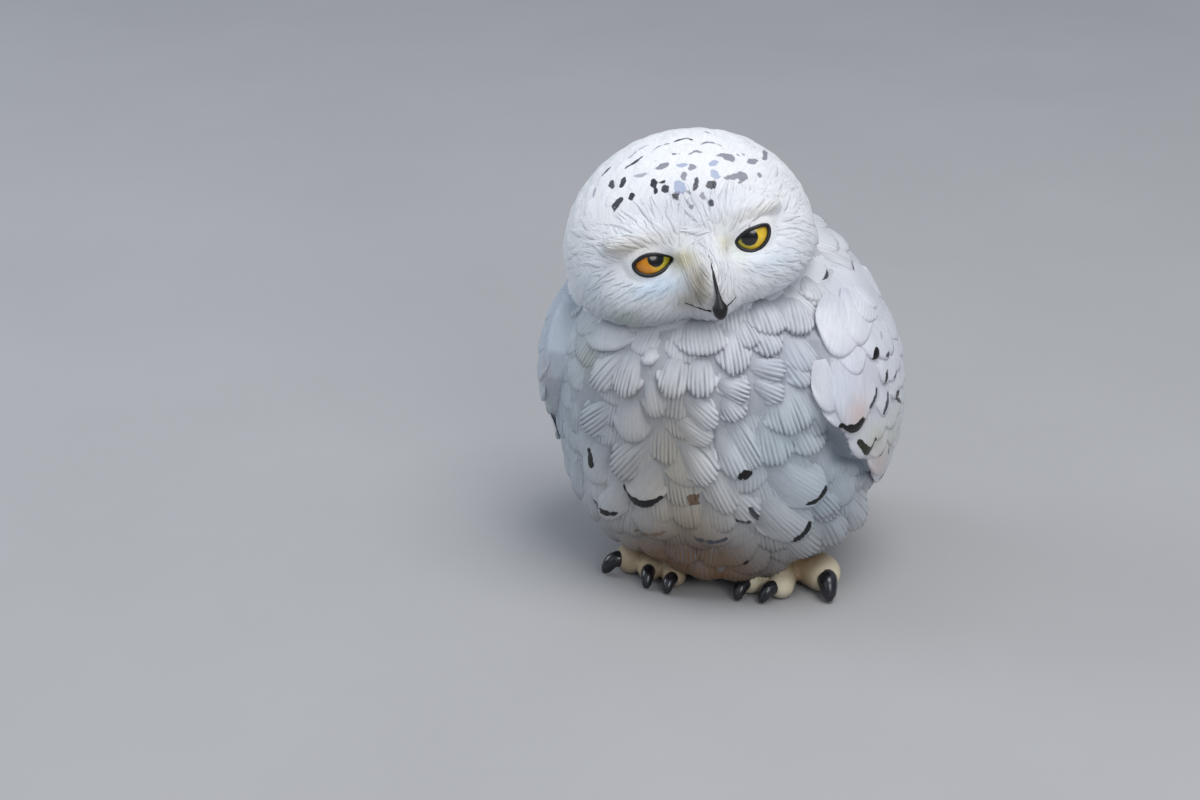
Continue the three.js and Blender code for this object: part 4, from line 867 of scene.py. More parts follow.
def polar_surface(f, phi, psi):
    # the surface point seen from the trunk's middle, at an angle from its leaning axis and a turn round it
    A, E1 = unit(np.array([0, -0.25, 1.0])), unit(np.array([0, 1.0, 0.25])); E2 = np.cross(A, E1)
    p, q = np.radians(phi)[:, None], np.radians(psi)[:, None]
    D = np.cos(p) * A + np.sin(p) * (np.cos(q) * E1 + np.sin(q) * E2)
    c = np.array([0, 4.0, 32.0]); r = np.full(len(D), 38.0)
    for _ in range(50):
        r = np.maximum(r - 0.85 * f(c + D * r[:, None]), 1.0)
    return c + D * r[:, None]
rings, k, phi = [], 0, 16.0
while phi < 173:
    count = max(6, int(round(2 * math.pi * 24 * math.sin(math.radians(phi)) / 5.2)))
    for c in range(count):
        psi = (c + 0.5 * (k % 2)) * 360 / count - 180 + rng.uniform(-2, 2); half = rng.uniform(9.4, 11.2)
        if abs(psi) < 118:
            rings.append((phi - half, psi, phi + half, psi + rng.uniform(-3, 3), rng.uniform(5.8, 7.2), rng.uniform(0.1, 0.8), rng.uniform(0.55, 0.8)))
    phi += 8.6; k += 1
H_ = np.array(rings)
def back_surface(P):
    t = trunk_field(P)
    w = carve(blend(wing_only(P), t - 0.7, 1.5) + WING_COAT, wing_edge(P) + 0.8, 2.6)
    return blend(t + COAT, w, 1.4)
root3, tip3 = polar_surface(back_surface, H_[:, 0], H_[:, 1]), polar_surface(back_surface, H_[:, 2], H_[:, 3])
mid3 = root3 * 0.35 + tip3 * 0.65
N3 = unit(gradient(back_surface, mid3)); up3 = mid3 + N3 * 0.9
side_on = N3[:, 0] * np.sign(mid3[:, 0]) > np.where(mid3[:, 2] < 24, 0.72, 0.62)          # faced by the rows of the wing
hid = ((wing_edge(up3) < -1.0) & (np.abs(up3[:, 0]) > 5) & (side_on | (mid3[:, 1] < 8))) | (head_over(up3) < -0.9) | (tail_field(up3) < -0.2)
n_r, n_t = unit(gradient(back_surface, root3)), unit(gradient(back_surface, tip3))
hid |= ((n_r * n_t).sum(-1) < 0.30) | (np.abs(back_surface(mid3)) > 1.3) | (np.linalg.norm(tip3 - root3, axis=1) > 14)
pick3 = ~hid & (mid3[:, 1] >= -4.5) & (tip3[:, 2] > 2.6)

front = [m for m in main]
lay_feathers("breast_feathers", [m for m in front if m[1][2] >= 28], body_surface, "body", white, "white_paint", MARKS["body"])
lay_feathers("belly_feathers", [m for m in front if m[1][2] < 28], body_surface, "body", white, "white_paint", MARKS["body"], pitch=0.66)
bar = {"mark": (0.55, 0.30, 0.55), "ink": "D"}
near_front = [f[:5] for f in fill if f[5] < -4]
behind = [(root3[i], tip3[i], H_[i, 4], H_[i, 5], H_[i, 6]) + (({"mark": (rng.uniform(0.3, 0.7), rng.uniform(0.22, 0.36), rng.uniform(0.35, 0.55)), "ink": "D"},) if rng.random() < 0.36 and mid3[i][2] > 12 else ({},))
          for i in np.nonzero(pick3)[0]]
lay_feathers("flank_feathers", near_front, body_surface, "body", white, "white_paint", MARKS["body"], rows=12)
S_ = np.array([(96.0, 50.4, 86.0, 47.6, 5.6, 0.25, 0.62), (87.0, 50.4, 75.5, 46.8, 5.8, 0.30, 0.70), (80.0, 50.0, 67.5, 46.6, 5.6, 0.35, 0.66),
               (-96.0, 50.0, -86.0, 46.6, 5.8, 0.2, 0.62), (-88.0, 49.4, -76.0, 45.6, 6.0, 0.3, 0.66), (-80.0, 48.6, -68.0, 44.6, 5.8, 0.3, 0.66), (-73.0, 46.4, -62.0, 41.4, 5.6, 0.3, 0.60)])
(sr, ok_r), (st, ok_t) = radial_surface(back_surface, S_[:, 0], S_[:, 1]), radial_surface(back_surface, S_[:, 2], S_[:, 3])
over_wing = np.array([[(15.1, -0.3, 51.0), (19.0, -6.8, 47.8)], [(17.0, 2.1, 50.4), (20.6, -4.8, 47.5)], [(14.4, -2.4, 50.4), (17.2, -8.4, 47.5)]])
over_wing = [settle(back_surface, over_wing[:, n], 8, limit=3.0) for n in (0, 1)]
behind += [(over_wing[0][i], over_wing[1][i], (5.6, 5.8, 5.0)[i], 0.30, 0.80, {}) for i in range(3)]
over_head = head_over(sr * 0.35 + st * 0.65 + np.array([0, 0, 0.9])) < -0.9
behind += [(sr[i], st[i], S_[i, 4], S_[i, 5], S_[i, 6], {}) for i in np.nonzero(ok_r & ok_t & ~over_head & (np.linalg.norm(st - sr, axis=1) < 12))[0]]
lay_feathers("back_feathers", behind, back_surface, "body", white, "white_paint", rows=11, cells=3)

# ------------------------------------------------------------------ wings
wing_surface = lambda P: wing_field(P) + WING_COAT
# scallops of the left wing that face forward: root and tip bearings and heights, width, combing, lift
WING_FRONT = [
    (97.0, 48.2, 82.5, 45.8, 4.8, 0.2, 0.36), (96.0, 47.4, 74.1, 44.8, 5.8, 0.2, 0.42),
    (72.6, 48.2, 55.5, 41.6, 7.2, 0.0, 0.62), (82.9, 48.2, 65.7, 42.3, 5.8, 0.0, 0.50), (61.5, 43.3, 57.9, 30.4, 8.0, 0.0, 1.05),
    (51.5, 41.5, 51.0, 34.0, 5.0, 0.0, 0.55), (52.0, 37.4, 55.2, 31.4, 4.8, 0.0, 0.60), (62.8, 34.6, 67.5, 25.2, 6.2, 0.0, 0.95),
    (71.0, 29.6, 82.9, 19.4, 5.6, 0.0, 0.85), (65.4, 39.6, 65.8, 33.0, 5.0, 0.0, 0.62), (74.0, 37.8, 75.2, 30.6, 4.8, 0.0, 0.62),
    (74.9, 45.0, 71.0, 39.8, 5.4, 0.0, 0.55), (79.0, 41.4, 74.6, 35.6, 4.8, 0.0, 0.55), (79.9, 32.2, 87.9, 23.8, 5.0, 0.0, 0.70),
    (64.0, 45.4, 62.0, 38.6, 5.6, 0.0, 0.50),
]
def side_surface(f, side, y, z):
    x = np.full(len(y), 34.0); y, z = np.array(y, float), np.array(z, float)
    for _ in range(60):
        x = x - 0.8 * f(np.stack([side * x, y, z], -1))
        x = np.clip(x, 1.0, 40)
    return np.stack([side * x, y, z], -1)
def wing_items(side):
    items = []
    if side > 0:
        W = np.array(WING_FRONT, float)
        r, a = radial_surface(wing_surface, W[:, 0], W[:, 1]); t, b = radial_surface(wing_surface, W[:, 2], W[:, 3])
        items += [(r[i], t[i], W[i, 4], W[i, 5], W[i, 6] * 0.85, {}) for i in np.nonzero(a & b)[0]]
    seen = np.array([i[1] for i in items]) if items else np.zeros((0, 3))
    out = []
    A0 = 26.0 * math.pi / 180
    row = 0; z = 50.0
    while z > 6:
        for c in range(26):
            az = 56 + c * 9.6 + (4.8 if row % 2 else 0) + rng.uniform(-1, 1)
            if az > 176:
                break
            th = math.radians(np.interp(az, (56, 90, 150), (12, 34, 52)))
            L = rng.uniform(6.4, 8.0)
            out.append((az - math.sin(th) * L * 0.5 / A0, z + math.cos(th) * L * 0.5, az + math.sin(th) * L * 0.5 / A0, z - math.cos(th) * L * 0.5))
        z -= 3.9; row += 1
    O = np.array(out)
    r, a = radial_surface(wing_surface, side * O[:, 0], O[:, 1]); t, b = radial_surface(wing_surface, side * O[:, 2], O[:, 3])
    a &= (r[:, 1] + t[:, 1]) / 2 < -4.5
    # behind the shoulder the rows are laid out as seen from the side
    lat = []; row = 0; z = 46.0
    while z > 4:
        for c in range(11):
            y = -6.5 + c * 4.5 + (2.25 if row % 2 else 0) + rng.uniform(-0.35, 0.35)
            th = math.radians(np.interp(y, (-8, 4, 16), (24, 40, 55)))
            L = rng.uniform(6.8, 8.2)
            lat.append((y - math.sin(th) * L / 2, z + math.cos(th) * L / 2, y + math.sin(th) * L / 2, z - math.cos(th) * L / 2))
        z -= 3.5; row += 1
    LT = np.array(lat)
    r_, t_ = side_surface(wing_surface, side, LT[:, 0], LT[:, 1]), side_surface(wing_surface, side, LT[:, 2], LT[:, 3])
    good = (np.abs(wing_surface(r_)) < 0.15) & (np.abs(wing_surface(t_)) < 0.15) & ((r_[:, 1] + t_[:, 1]) / 2 >= -4.8)
    r, t, a, b = np.concatenate([r, r_]), np.concatenate([t, t_]), np.concatenate([a, good]), np.concatenate([b, good])
    O = np.concatenate([O, np.tile([[99.0, 99.0, 99.0, 0.0]], (len(LT), 1))])
    m = r * 0.4 + t * 0.6
    keep = a & b & (wing_edge(m) < -0.7) & (head_over(m + unit(m - np.array([0, 0, 30.0]))) > -1.2)
    nr_, nt_ = unit(gradient(wing_surface, r)), unit(gradient(wing_surface, t))
    keep &= (wing_edge(t) < (0.7 if side > 0 else 2.4)) | (t[:, 1] > -1)
    keep &= (wing_edge(r) < 0.3) | (r[:, 2] < 40)
    keep &= ((nr_ * nt_).sum(-1) > 0.55) & (nr_[:, 2] < 0.86) & ((m[:, 2] < 45.5) | (m[:, 1] < -8))
    keep &= ~((m[:, 1] > 2) & (m[:, 2] < 19.5 - 0.45 * (m[:, 1] - 2)))      # the long feathers lie there
    if len(seen):
        keep &= np.linalg.norm(t[:, None] - seen[None], axis=2).min(1) > 3.0
        keep &= ~((O[:, 2] < 72) & (O[:, 3] > 26))
    d = np.linalg.norm(t - r, axis=1); keep &= (d > 3.5) & (d < 14)
    for i in np.nonzero(keep)[0]:
        p = rng.random()
        mk = {}
        if t[i][2] < 42 and p < 0.44:
            mk = {"mark": (rng.uniform(0.3, 0.6), rng.uniform(0.26, 0.46), rng.uniform(0.26, 0.48)), "ink": "K" if p < 0.26 else "D"}
        items.append((r[i], t[i], rng.uniform(5.2, 6.4), 0.0, rng.uniform(0.5, 0.68) * (0.75 if t[i][2] > 38 else 1.0), mk))
    return items

for side, name in ((1, "wing_left_coverts"), (-1, "wing_right_coverts")):
    lay_feathers(name, wing_items(side), wing_surface, "wing", wing_white, "wing_paint", MARKS["wing"] if side > 0 else (),
                 rows=12, nose=0.42, power=2.2, narrow=0.66, dome=0.30)

# long flight feathers, folded over the root of the tail: [back, up] of root and tip, width
QUILLS = [(-7.5, 25.0, 1.2, 17.4, 4.6), (-5.0, 25.5, 6.6, 15.2, 4.6), (-2.0, 25.8, 12.4, 12.9, 4.6), (1.2, 25.8, 18.0, 10.6, 4.6),
          (4.6, 25.4, 23.4, 8.5, 4.5), (8.2, 24.8, 28.0, 7.0, 4.4), (12.0, 24.2, 29.0, 8.4, 4.3), (15.0, 23.6, 27.6, 11.0, 4.2)]
for side, name in ((1, "wing_left_quills"), (-1, "wing_right_quills")):
    Qr = side_surface(wing_surface, side, [k[0] for k in QUILLS], [k[1] for k in QUILLS])
    Qt = side_surface(wing_surface, side, [k[2] for k in QUILLS], [k[3] for k in QUILLS])
    inner_r, inner_t = [], []
    for y0, z0, y1, z1 in ((0.5, 4.4, 10.5, 4.2), (-0.5, 1.6, 13.0, 1.9), (0.0, -1.5, 15.0, -0.4), (2.0, -4.4, 13.0, -3.2), (-2.0, -3.6, 8.0, -5.4)):
        for lst, (yy, zz) in ((inner_r, (y0, z0)), (inner_t, (y1, z1))):
            xx = -6.2 * math.sqrt(max(0.02, 1 - (yy / 17.0) ** 2 - (zz / 7.6) ** 2))
            w_ = np.array([xx, yy, zz]) @ P_R.T + np.array([14.0, 17.2, 15.4])
            lst.append(w_ * np.array([side, 1, 1]))
    items = [(Qr[i], Qt[i], QUILLS[i][4], 0.0, 0.42 + 0.07 * i, {"mark": (1.5, 0.5, 0.75), "ink": "D"}) for i in range(len(QUILLS))]
    coat = Coat(wing_surface, "wing")
    ax, sd = frame_at(wing_surface, Qr, Qt)
    for n, it in enumerate(items):
        feather(coat, it[0], it[1], it[2], it[3], it[4], ax[n], sd[n], rows=26, nose=0.16, power=2.4, narrow=0.7, **it[5])
    ri, ti = settle(wing_surface, np.array(inner_r), 5, limit=2.0), settle(wing_surface, np.array(inner_t), 5, limit=2.0)
    on = (wing_edge(ri) < 0.8) & (wing_edge(ti) < 0.5); ri, ti = ri[on], ti[on]
    ax, sd = frame_at(wing_surface, ri, ti)
    for n in range(len(ri)):
        feather(coat, ri[n], ti[n], 4.6, 0.0, 0.40, ax[n], sd[n], rows=20, nose=0.2, power=2.4, narrow=0.7)
    coat.build(name, wing_white, steps=6, limit=2.5)

# ------------------------------------------------------------------ tail
def tail_sheet(P):
    q = (P - np.array([0, 17.0, 10.2])) @ TAIL_R
    return np.abs(q[..., 2] + 0.022 * q[..., 0] ** 2) - 0.75
coat = Coat(tail_sheet, "wing")
for k in (-3, 3, -2, 2, -1, 1, 0):
    for top in (1, -1):
        x1 = 2.85 * k
        a = np.array([k * 1.6, -1.0, top * 0.8 - 0.022 * (k * 1.6) ** 2]) @ TAIL_R.T + np.array([0, 17.0, 10.2])
        b = np.array([x1, 20.3 - 0.036 * x1 * x1, top * 0.8 - 0.022 * x1 * x1]) @ TAIL_R.T + np.array([0, 17.0, 10.2])
        ax = unit(b - a); n = TAIL_R @ np.array([0, 0, float(top)])
        n = unit(n - (n @ ax) * ax)
        lift = 0.60 - 0.11 * abs(k) if top > 0 else 0.34 - 0.05 * abs(k)
        feather(coat, a, b, 5.0, 0.0, lift, ax, np.cross(n, ax), rows=26, nose=0.13, power=2.4, narrow=0.8,
                mark=(2.0, 0.5, 0.7) if top > 0 else None, ink="D", deep=-0.6)
coat.build("tail_feathers", wing_white, steps=4, limit=1.0)

# ------------------------------------------------------------------ head: low scallops behind, fine locks on the face
def head_surface(P):
    q = to_head(P); return head_field(q[..., 0], q[..., 1], q[..., 2]) + 0.06
def head_smooth(P):
    q = to_head(P); return head_field(q[..., 0], q[..., 1], q[..., 2], eyes=False) + 0.06

def cap_points(step, keep):
    # evenly spread points over the head as seen from its middle
    n = int(4 * math.pi * 17.5 ** 2 / (step * step))
    i = np.arange(n) + 0.5
    cz = 1 - 2 * i / n; a = i * math.pi * (3 - math.sqrt(5))
    s = np.sqrt(1 - cz * cz)
    D = np.stack([s * np.sin(a), -s * np.cos(a), cz], -1)
    r = np.full(n, 27.0)
    for _ in range(40):
        X = D * r[:, None]
        r = np.maximum(r - 0.85 * head_field(X[:, 0], X[:, 1] , X[:, 2], eyes=False), 1.0)
    Q = D * r[:, None]
    return Q[keep(Q)]

def flow(Q):
    # which way the coat lies, in the head's own frame
    x, y, z = Q[:, 0], Q[:, 1], Q[:, 2]
    s = np.where(x >= 0, 1.0, -1.0)
    fx, fz = x - 3.0 * s, z - 1.4
    r = np.hypot(fx, fz)
    face = np.stack([fx / np.maximum(r, 0.3), 0.35 * sstep(2, 12, r), fz / np.maximum(r, 0.3)], -1)
    face[:, 2] -= 0.07 * np.clip(np.abs(x) - 8, 0, 8) * (z < 3)
    near_bill = np.exp(-((x / 2.2) ** 2 + ((z - 2.5) / 3.2) ** 2))
    down = np.stack([0.35 * s * np.abs(x) / 2.2, 0 * x - 0.5, 0 * x - 1.0], -1)
    face = face * (1 - near_bill[:, None]) + down * near_bill[:, None]
    back = np.stack([0.25 * x / 17, 0 * x + 1.0, -0.55 - 0.02 * y], -1)
    w = sstep(6.5, 13.0, z + 0.9 * y + 9.5)[:, None]
    return unit(face * (1 - w) + back * w)

def along(Q, d):
    # the same heading, laid flat on the head
    n = unit(gradient(lambda P: head_field(P[..., 0], P[..., 1], P[..., 2], eyes=False), Q))
    return unit(d - (d * n).sum(-1, keepdims=True) * n)
QR = cap_points(3.1, lambda Q: (Q[:, 2] + 0.9 * Q[:, 1] > -3.5) & (Q[:, 2] > -8) & ~((np.abs(Q[:, 0]) > 4) & (Q[:, 2] < 9.5) & (Q[:, 2] > 3.0) & (Q[:, 1] < -6.5)))
d = along(QR, flow(QR)); ln = rng.uniform(4.2, 5.4, len(QR))
root_h, tip_h = from_head(QR), from_head(QR + d * ln[:, None])
ok = (trunk_field(root_h) > 0.3)
root_h, tip_h, QRk = root_h[ok], tip_h[ok], QR[ok]
items = []
for i in range(len(root_h)):
    mk = {}
    if QRk[i][1] > 2 and QRk[i][2] > -2 and rng.random() < 0.35:
        mk = {"mark": (0.35, 0.20, 0.35), "ink": "D"}
    items.append((root_h[i], tip_h[i], rng.uniform(4.0, 4.9), 0.0 if QRk[i][1] < 4 else 0.25, rng.uniform(0.12, 0.18) + 0.14 * float(sstep(0, 10, QRk[i][1])), mk))
ahead = [it for it in items if it[0][2] > 58 and it[0][1] < 3]
rest = [it for it in items if not (it[0][2] > 58 and it[0][1] < 3)]
lay_feathers("crown_feathers", ahead, head_smooth, "head", head_white, "white_paint", MARKS["crown"], rows=22, nose=0.36, power=2.2, narrow=0.6,
             deep=-0.2, dome=0.5, step=0.2)
lay_feathers("nape_feathers", rest, head_smooth, "head", head_white, "white_paint", rows=10, nose=0.36, power=2.2, narrow=0.6, deep=-0.25, dome=0.5)

# locks of the face
def lock(coat, root, tip, width, lift, axis, side, droop=0.0):
    L = np.linalg.norm(tip - root); nr, nc = 7, 4
    u = np.linspace(-1, 1, nc + 1); v = np.arange(nr + 1) / nr
    U, V = np.meshgrid(u, v)
    w = np.clip(0.5 + 0.6 * np.sin(np.clip(V * 1.15, 0, 1) * math.pi) - 0.62 * V ** 3, 0.1, 1)
    bend = rng.uniform(-0.16, 0.16) * L
    S = L * V * (1 - 0.03 * U * U); T = width / 2 * U * w + bend * V * V
    H = (-0.12 + (lift + 0.12) * np.sin(np.clip(V * 0.72 + 0.02, 0, 1) * math.pi) ** 0.8) * (1 - 0.75 * U * U) - 0.02
    # painted shade along each lock's sides and at its root
    cav = 0.55 * U * U + 0.25 * (1 - V)
    coat.add(S, T, H, cav, root, axis, side, nr, nc, out1=0.0, uv0=unwrap(root, "head"), deep=-0.22, lip=0.6)

def face_mask(Q):
    x, y, z = Q[:, 0], Q[:, 1], Q[:, 2]
    m = ((z + 0.9 * y < -4.6) | ((np.abs(x) > 4) & (z < 8.5) & (y < -6))) & (z > -9.5)
    for side in (-1, 1):
        rim = poly_distance(x - side * EYE_X, z - EYE_Z, RIM_LOOP[side])
        m &= ~((rim < 0.55) & (y < -8))
    return m & ~((np.abs(x - 0.45) < 0.45) & (z < 1.5) & (y < -14))
QF = cap_points(0.86, face_mask)
QF = QF + rng.normal(0, 0.16, QF.shape)
d = along(QF, flow(QF) + rng.normal(0, 0.10, QF.shape))
s = np.where(QF[:, 0] >= 0, 1.0, -1.0)
rr = np.hypot(QF[:, 0] - 3.0 * s, QF[:, 2] - 1.4)
ln = np.clip(1.5 + 0.20 * rr, 1.5, 4.4) * rng.uniform(0.8, 1.25, len(QF))
brow = np.exp(-(((np.abs(QF[:, 0]) - 7) / 4.5) ** 2 + ((QF[:, 2] - 5.2) / 1.3) ** 2)) * (QF[:, 1] < -8)
rimd = np.exp(-((QF[:, 2] - (CHIN_LEVEL + 0.6)) / 1.6) ** 2)
fade = sstep(-4.4, -8.5, QF[:, 2] + 0.9 * QF[:, 1])
lf = np.clip(0.07 + 0.006 * rr + 0.17 * brow + 0.10 * rimd, 0.05, 0.4) * rng.uniform(0.6, 1.3, len(QF)) * (0.35 + 0.65 * fade)
wd = np.clip(0.46 + 0.026 * rr + 0.15 * brow, 0.42, 0.9) * rng.uniform(0.85, 1.25, len(QF))
ln = ln * (1 + 0.35 * brow) * 1.25
big = (rng.random(len(QF)) < 0.16) & (rr > 3.4)
ln = np.where(big, ln * 1.35, ln); lf = np.where(big, lf * 1.5 + 0.03, lf); wd = np.where(big, wd * 1.7, wd)
# no lock reaches over an eye
tipq = QF + d * ln[:, None]
bad = np.zeros(len(QF), bool)
for side in (-1, 1):
    for f in (0.5, 1.0):
        X = QF + d * (ln * f)[:, None]
        rim = poly_distance(X[:, 0] - side * EYE_X, X[:, 2] - EYE_Z, RIM_LOOP[side])
        bad |= (rim < 0.35) & (X[:, 1] < -8)
keep = ~bad & (trunk_field(from_head(QF)) > 0.4)
QF, d, ln, lf, wd = QF[keep], d[keep], ln[keep], lf[keep], wd[keep]
# the brows: long locks that rise from over the inner corner of each eye and sweep out
for side in (-1, 1):
    u = np.sort(rng.uniform(0, 1, 46)); lift_row = rng.uniform(0, 1, 46)
    B_ = np.stack([side * (2.3 + 8.8 * u), np.full(46, -14.0), 4.5 + 0.7 * np.sin(math.pi * u) + 2.3 * lift_row], -1)
    B_ = settle(lambda P: head_field(P[..., 0], P[..., 1], P[..., 2], eyes=False), B_, 5, limit=2.0)
    th = np.radians(np.interp(u, (0, 0.5, 1), (78, 50, 24)) + rng.uniform(-9, 9, 46) + 10 * lift_row)
    dB = along(B_, np.stack([side * np.cos(th), np.full(46, 0.2), np.sin(th)], -1))
    lB = rng.uniform(3.6, 6.2, 46) * (0.62 + 0.5 * np.sin(math.pi * np.clip(u + 0.10, 0, 1)))
    QF = np.concatenate([QF, B_]); d = np.concatenate([d, dB]); ln = np.concatenate([ln, lB])
    lf = np.concatenate([lf, rng.uniform(0.20, 0.36, 46) * (1 - 0.35 * lift_row) * (1 - 0.55 * u ** 3)]); wd = np.concatenate([wd, rng.uniform(0.8, 1.3, 46)])
for side, count in ((-1, 34), (1, 22)):
    u = np.linspace(0, 1, count) + rng.normal(0, 0.02, count)
    B_ = np.stack([side * (3.5 - 2.7 * u), np.full(count, -15.0), 2.3 + 1.6 * u + rng.uniform(-0.7, 0.7, count)], -1)
    E_ = np.stack([side * (1.7 - 1.0 * u) + 0.3, np.full(count, -19.0), -4.9 + 4.4 * u + rng.uniform(-0.6, 0.6, count)], -1)
    hf = lambda P: head_field(P[..., 0], P[..., 1], P[..., 2], eyes=False)
    B_, E_ = settle(hf, B_, 6, limit=2.0), settle(hf, E_, 6, limit=2.0)
    rim = poly_distance(B_[:, 0] - side * EYE_X, B_[:, 2] - EYE_Z, RIM_LOOP[side])
    ok_ = rim > 0.4; B_, E_ = B_[ok_], E_[ok_]
    QF = np.concatenate([QF, B_]); d = np.concatenate([d, unit(E_ - B_)]); ln = np.concatenate([ln, np.linalg.norm(E_ - B_, axis=1)])
    lf = np.concatenate([lf, rng.uniform(0.16, 0.27, len(B_))]); wd = np.concatenate([wd, rng.uniform(0.30, 0.46, len(B_))])
R, T = from_head(QF), from_head(QF + d * ln[:, None])
ax, sd = frame_at(head_smooth, R, T)
for name, pick in (("face_feathers_left", QF[:, 0] >= 0), ("face_feathers_right", QF[:, 0] < 0)):
    coat = Coat(head_surface, "head")
    for i in np.nonzero(pick)[0]:
        lock(coat, R[i], T[i], wd[i], lf[i], ax[i], sd[i])
    coat.build(name, head_white, MARKS["crown"], steps=7, limit=1.0)

# ------------------------------------------------------------------ eyes
def tube(points, radii, sides=10, closed=False, squash=1.0):
    P = np.array(points, float); n = len(P); radii = np.broadcast_to(radii, n)
    t = np.empty_like(P)
    if closed:
        t = unit(np.roll(P, -1, 0) - np.roll(P, 1, 0))
    else:
        t[1:-1] = P[2:] - P[:-2]; t[0] = P[1] - P[0]; t[-1] = P[-1] - P[-2]; t = unit(t)
    up = np.array([0, -1.0, 0.15]); ref = unit(np.cross(t, np.tile(up, (n, 1)))); oth = np.cross(ref, t)
    a = np.arange(sides) * 2 * math.pi / sides
    V = P[:, None] + radii[:, None, None] * (np.cos(a)[None, :, None] * ref[:, None] + squash * np.sin(a)[None, :, None] * oth[:, None])
    V = V.reshape(-1, 3)
    i = np.arange(n if closed else n - 1)[:, None]; j = np.arange(sides)[None]
    a0 = i * sides + j; a1 = i * sides + (j + 1) % sides; b0 = ((i + 1) % n) * sides + j; b1 = ((i + 1) % n) * sides + (j + 1) % sides
    Q = np.stack([a0, b0, b1, a1], -1).reshape(-1, 4)
    tris = []
    if not closed:
        c0, c1 = len(V), len(V) + 1
        V = np.concatenate([V, [P[0]], [P[-1]]])
        jj = np.arange(sides); k = (jj + 1) % sides
        tris.append(np.stack([np.full(sides, c0), jj, k], -1))
        e = (n - 1) * sides
        tris.append(np.stack([np.full(sides, c1), e + k, e + jj], -1))
    return V, Q, (np.concatenate(tris) if tris else np.zeros((0, 3), int))

def outward(V, Q, T):
    # turn the faces out if the body is inside out
    tri = np.concatenate([Q[:, [0, 1, 2]], Q[:, [0, 2, 3]], T]) if len(T) else np.concatenate([Q[:, [0, 1, 2]], Q[:, [0, 2, 3]]])
    a, b, c = V[tri[:, 0]], V[tri[:, 1]], V[tri[:, 2]]
    if (a * np.cross(b, c)).sum() < 0:
        return Q[:, ::-1].copy(), (T[:, ::-1].copy() if len(T) else T)
    return Q, T

def globe(centre, radius, nu=96, nv=56):
    a = np.arange(nu) * 2 * math.pi / nu; e = (np.arange(1, nv)) * math.pi / nv
    A, E = np.meshgrid(a, e)
    D = np.stack([np.sin(E) * np.cos(A), -np.cos(E), np.sin(E) * np.sin(A)], -1).reshape(-1, 3)
    D = np.concatenate([D, [[0, -1, 0]], [[0, 1, 0]]])
    i = np.arange(nv - 2)[:, None]; j = np.arange(nu)[None]; k = (j + 1) % nu
    Q = np.stack([i * nu + j, i * nu + k, (i + 1) * nu + k, (i + 1) * nu + j], -1).reshape(-1, 4)
    jj = np.arange(nu); kk = (jj + 1) % nu; n = (nv - 1) * nu
    T = np.concatenate([np.stack([np.full(nu, n), kk, jj], -1), np.stack([np.full(nu, n + 1), (nv - 2) * nu + jj, (nv - 2) * nu + kk], -1)])
    return centre + D * radius, D, Q, T

PUPIL = {-1: unit(np.array([0.95, -4.03, 0.73])), 1: unit(np.array([-0.27, -4.19, 0.19]))}
for side, name in ((1, "eye_left"), (-1, "eye_right")):
    C = np.array([side * EYE_X, EYE_Y, EYE_Z])
    P, D, Q, T = globe(C, EYE_R)
    ang = np.arccos(np.clip(D @ PUPIL[side], -1, 1)) * EYE_R
    orange, yellow, green, deep = rgb(222, 140, 22), rgb(238, 196, 44), rgb(150, 156, 44), rgb(120, 72, 16)
    o = (D - PUPIL[side])
    lean = (-o[:, 0] * 3.0 * (1 if side < 0 else -1)) - 0.0
    m = sstep(-0.6, 1.1, lean)[:, None]
    col = yellow * (1 - m) + (orange if side < 0 else rgb(240, 200, 60)) * m
    m = (sstep(0.4, -1.2, lean) * 0.75)[:, None]
    col = col * (1 - m) + green * m
    m = (sstep(1.9, 3.1, ang) * 0.35)[:, None]
    col = col * (1 - m) + deep * m
    m = (sstep(1.55, 1.2, ang) * 0.35)[:, None]
    col = col * (1 - m) + green * m
    Pw = from_head(P)
    Q, T = outward(P - C, Q, T)
    ob = make_mesh(name + "_ball", Pw, [Q, T], {"tint": col, "mark": ang - 1.25}, None, amber)
    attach(ob, "root"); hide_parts(name)
    # dark rim of the lids
    L = rim_curve(side, 64)
    y = EYE_Y - np.sqrt(np.maximum((EYE_R + 0.22) ** 2 - L[:, 0] ** 2 - L[:, 1] ** 2, 0.5))
    ring = np.stack([C[0] + L[:, 0], y, C[2] + L[:, 1]], -1)
    V_, Q_, T_ = tube(ring, 0.30, 10, closed=True)
    Q_, T_ = outward(V_ - C, Q_, T_)
    ob = make_mesh(name + "_rim", from_head(V_), [Q_], {}, None, rim_black)
    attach(ob, "root")

# ------------------------------------------------------------------ bill: a dark ridge that swells into the hooked tip
def on_head(points, lift):
    P = from_head(np.array(points, float)); g = unit(gradient(head_smooth, P))
    P = settle(head_smooth, P, 4, limit=2.0); g = unit(gradient(head_smooth, P))
    return P + g * np.asarray(lift)[:, None]
def smooth_path(pts, n):
    P = np.array(pts, float); m = len(P) - 1
    t = np.linspace(0, m, n); i = np.minimum(t.astype(int), m - 1); f = (t - i)[:, None]
    p0, p1, p2, p3 = P[np.maximum(i - 1, 0)], P[i], P[i + 1], P[np.minimum(i + 2, m)]
    return 0.5 * ((2 * p1) + (-p0 + p2) * f + (2 * p0 - 5 * p1 + 4 * p2 - p3) * f ** 2 + (-p0 + 3 * p1 - 3 * p2 + p3) * f ** 3)
BILL = [(0.55, -17.5, 1.6), (0.55, -18.6, 0.4), (0.5, -19.6, -1.2), (0.42, -20.3, -3.1), (0.3, -20.75, -4.1), (0.2, -20.75, -5.1), (0.1, -20.35, -6.2), (0.05, -19.9, -6.8)]
BILL_R = [0.13, 0.19, 0.23, 0.28, 0.50, 1.16, 0.92, 0.25]
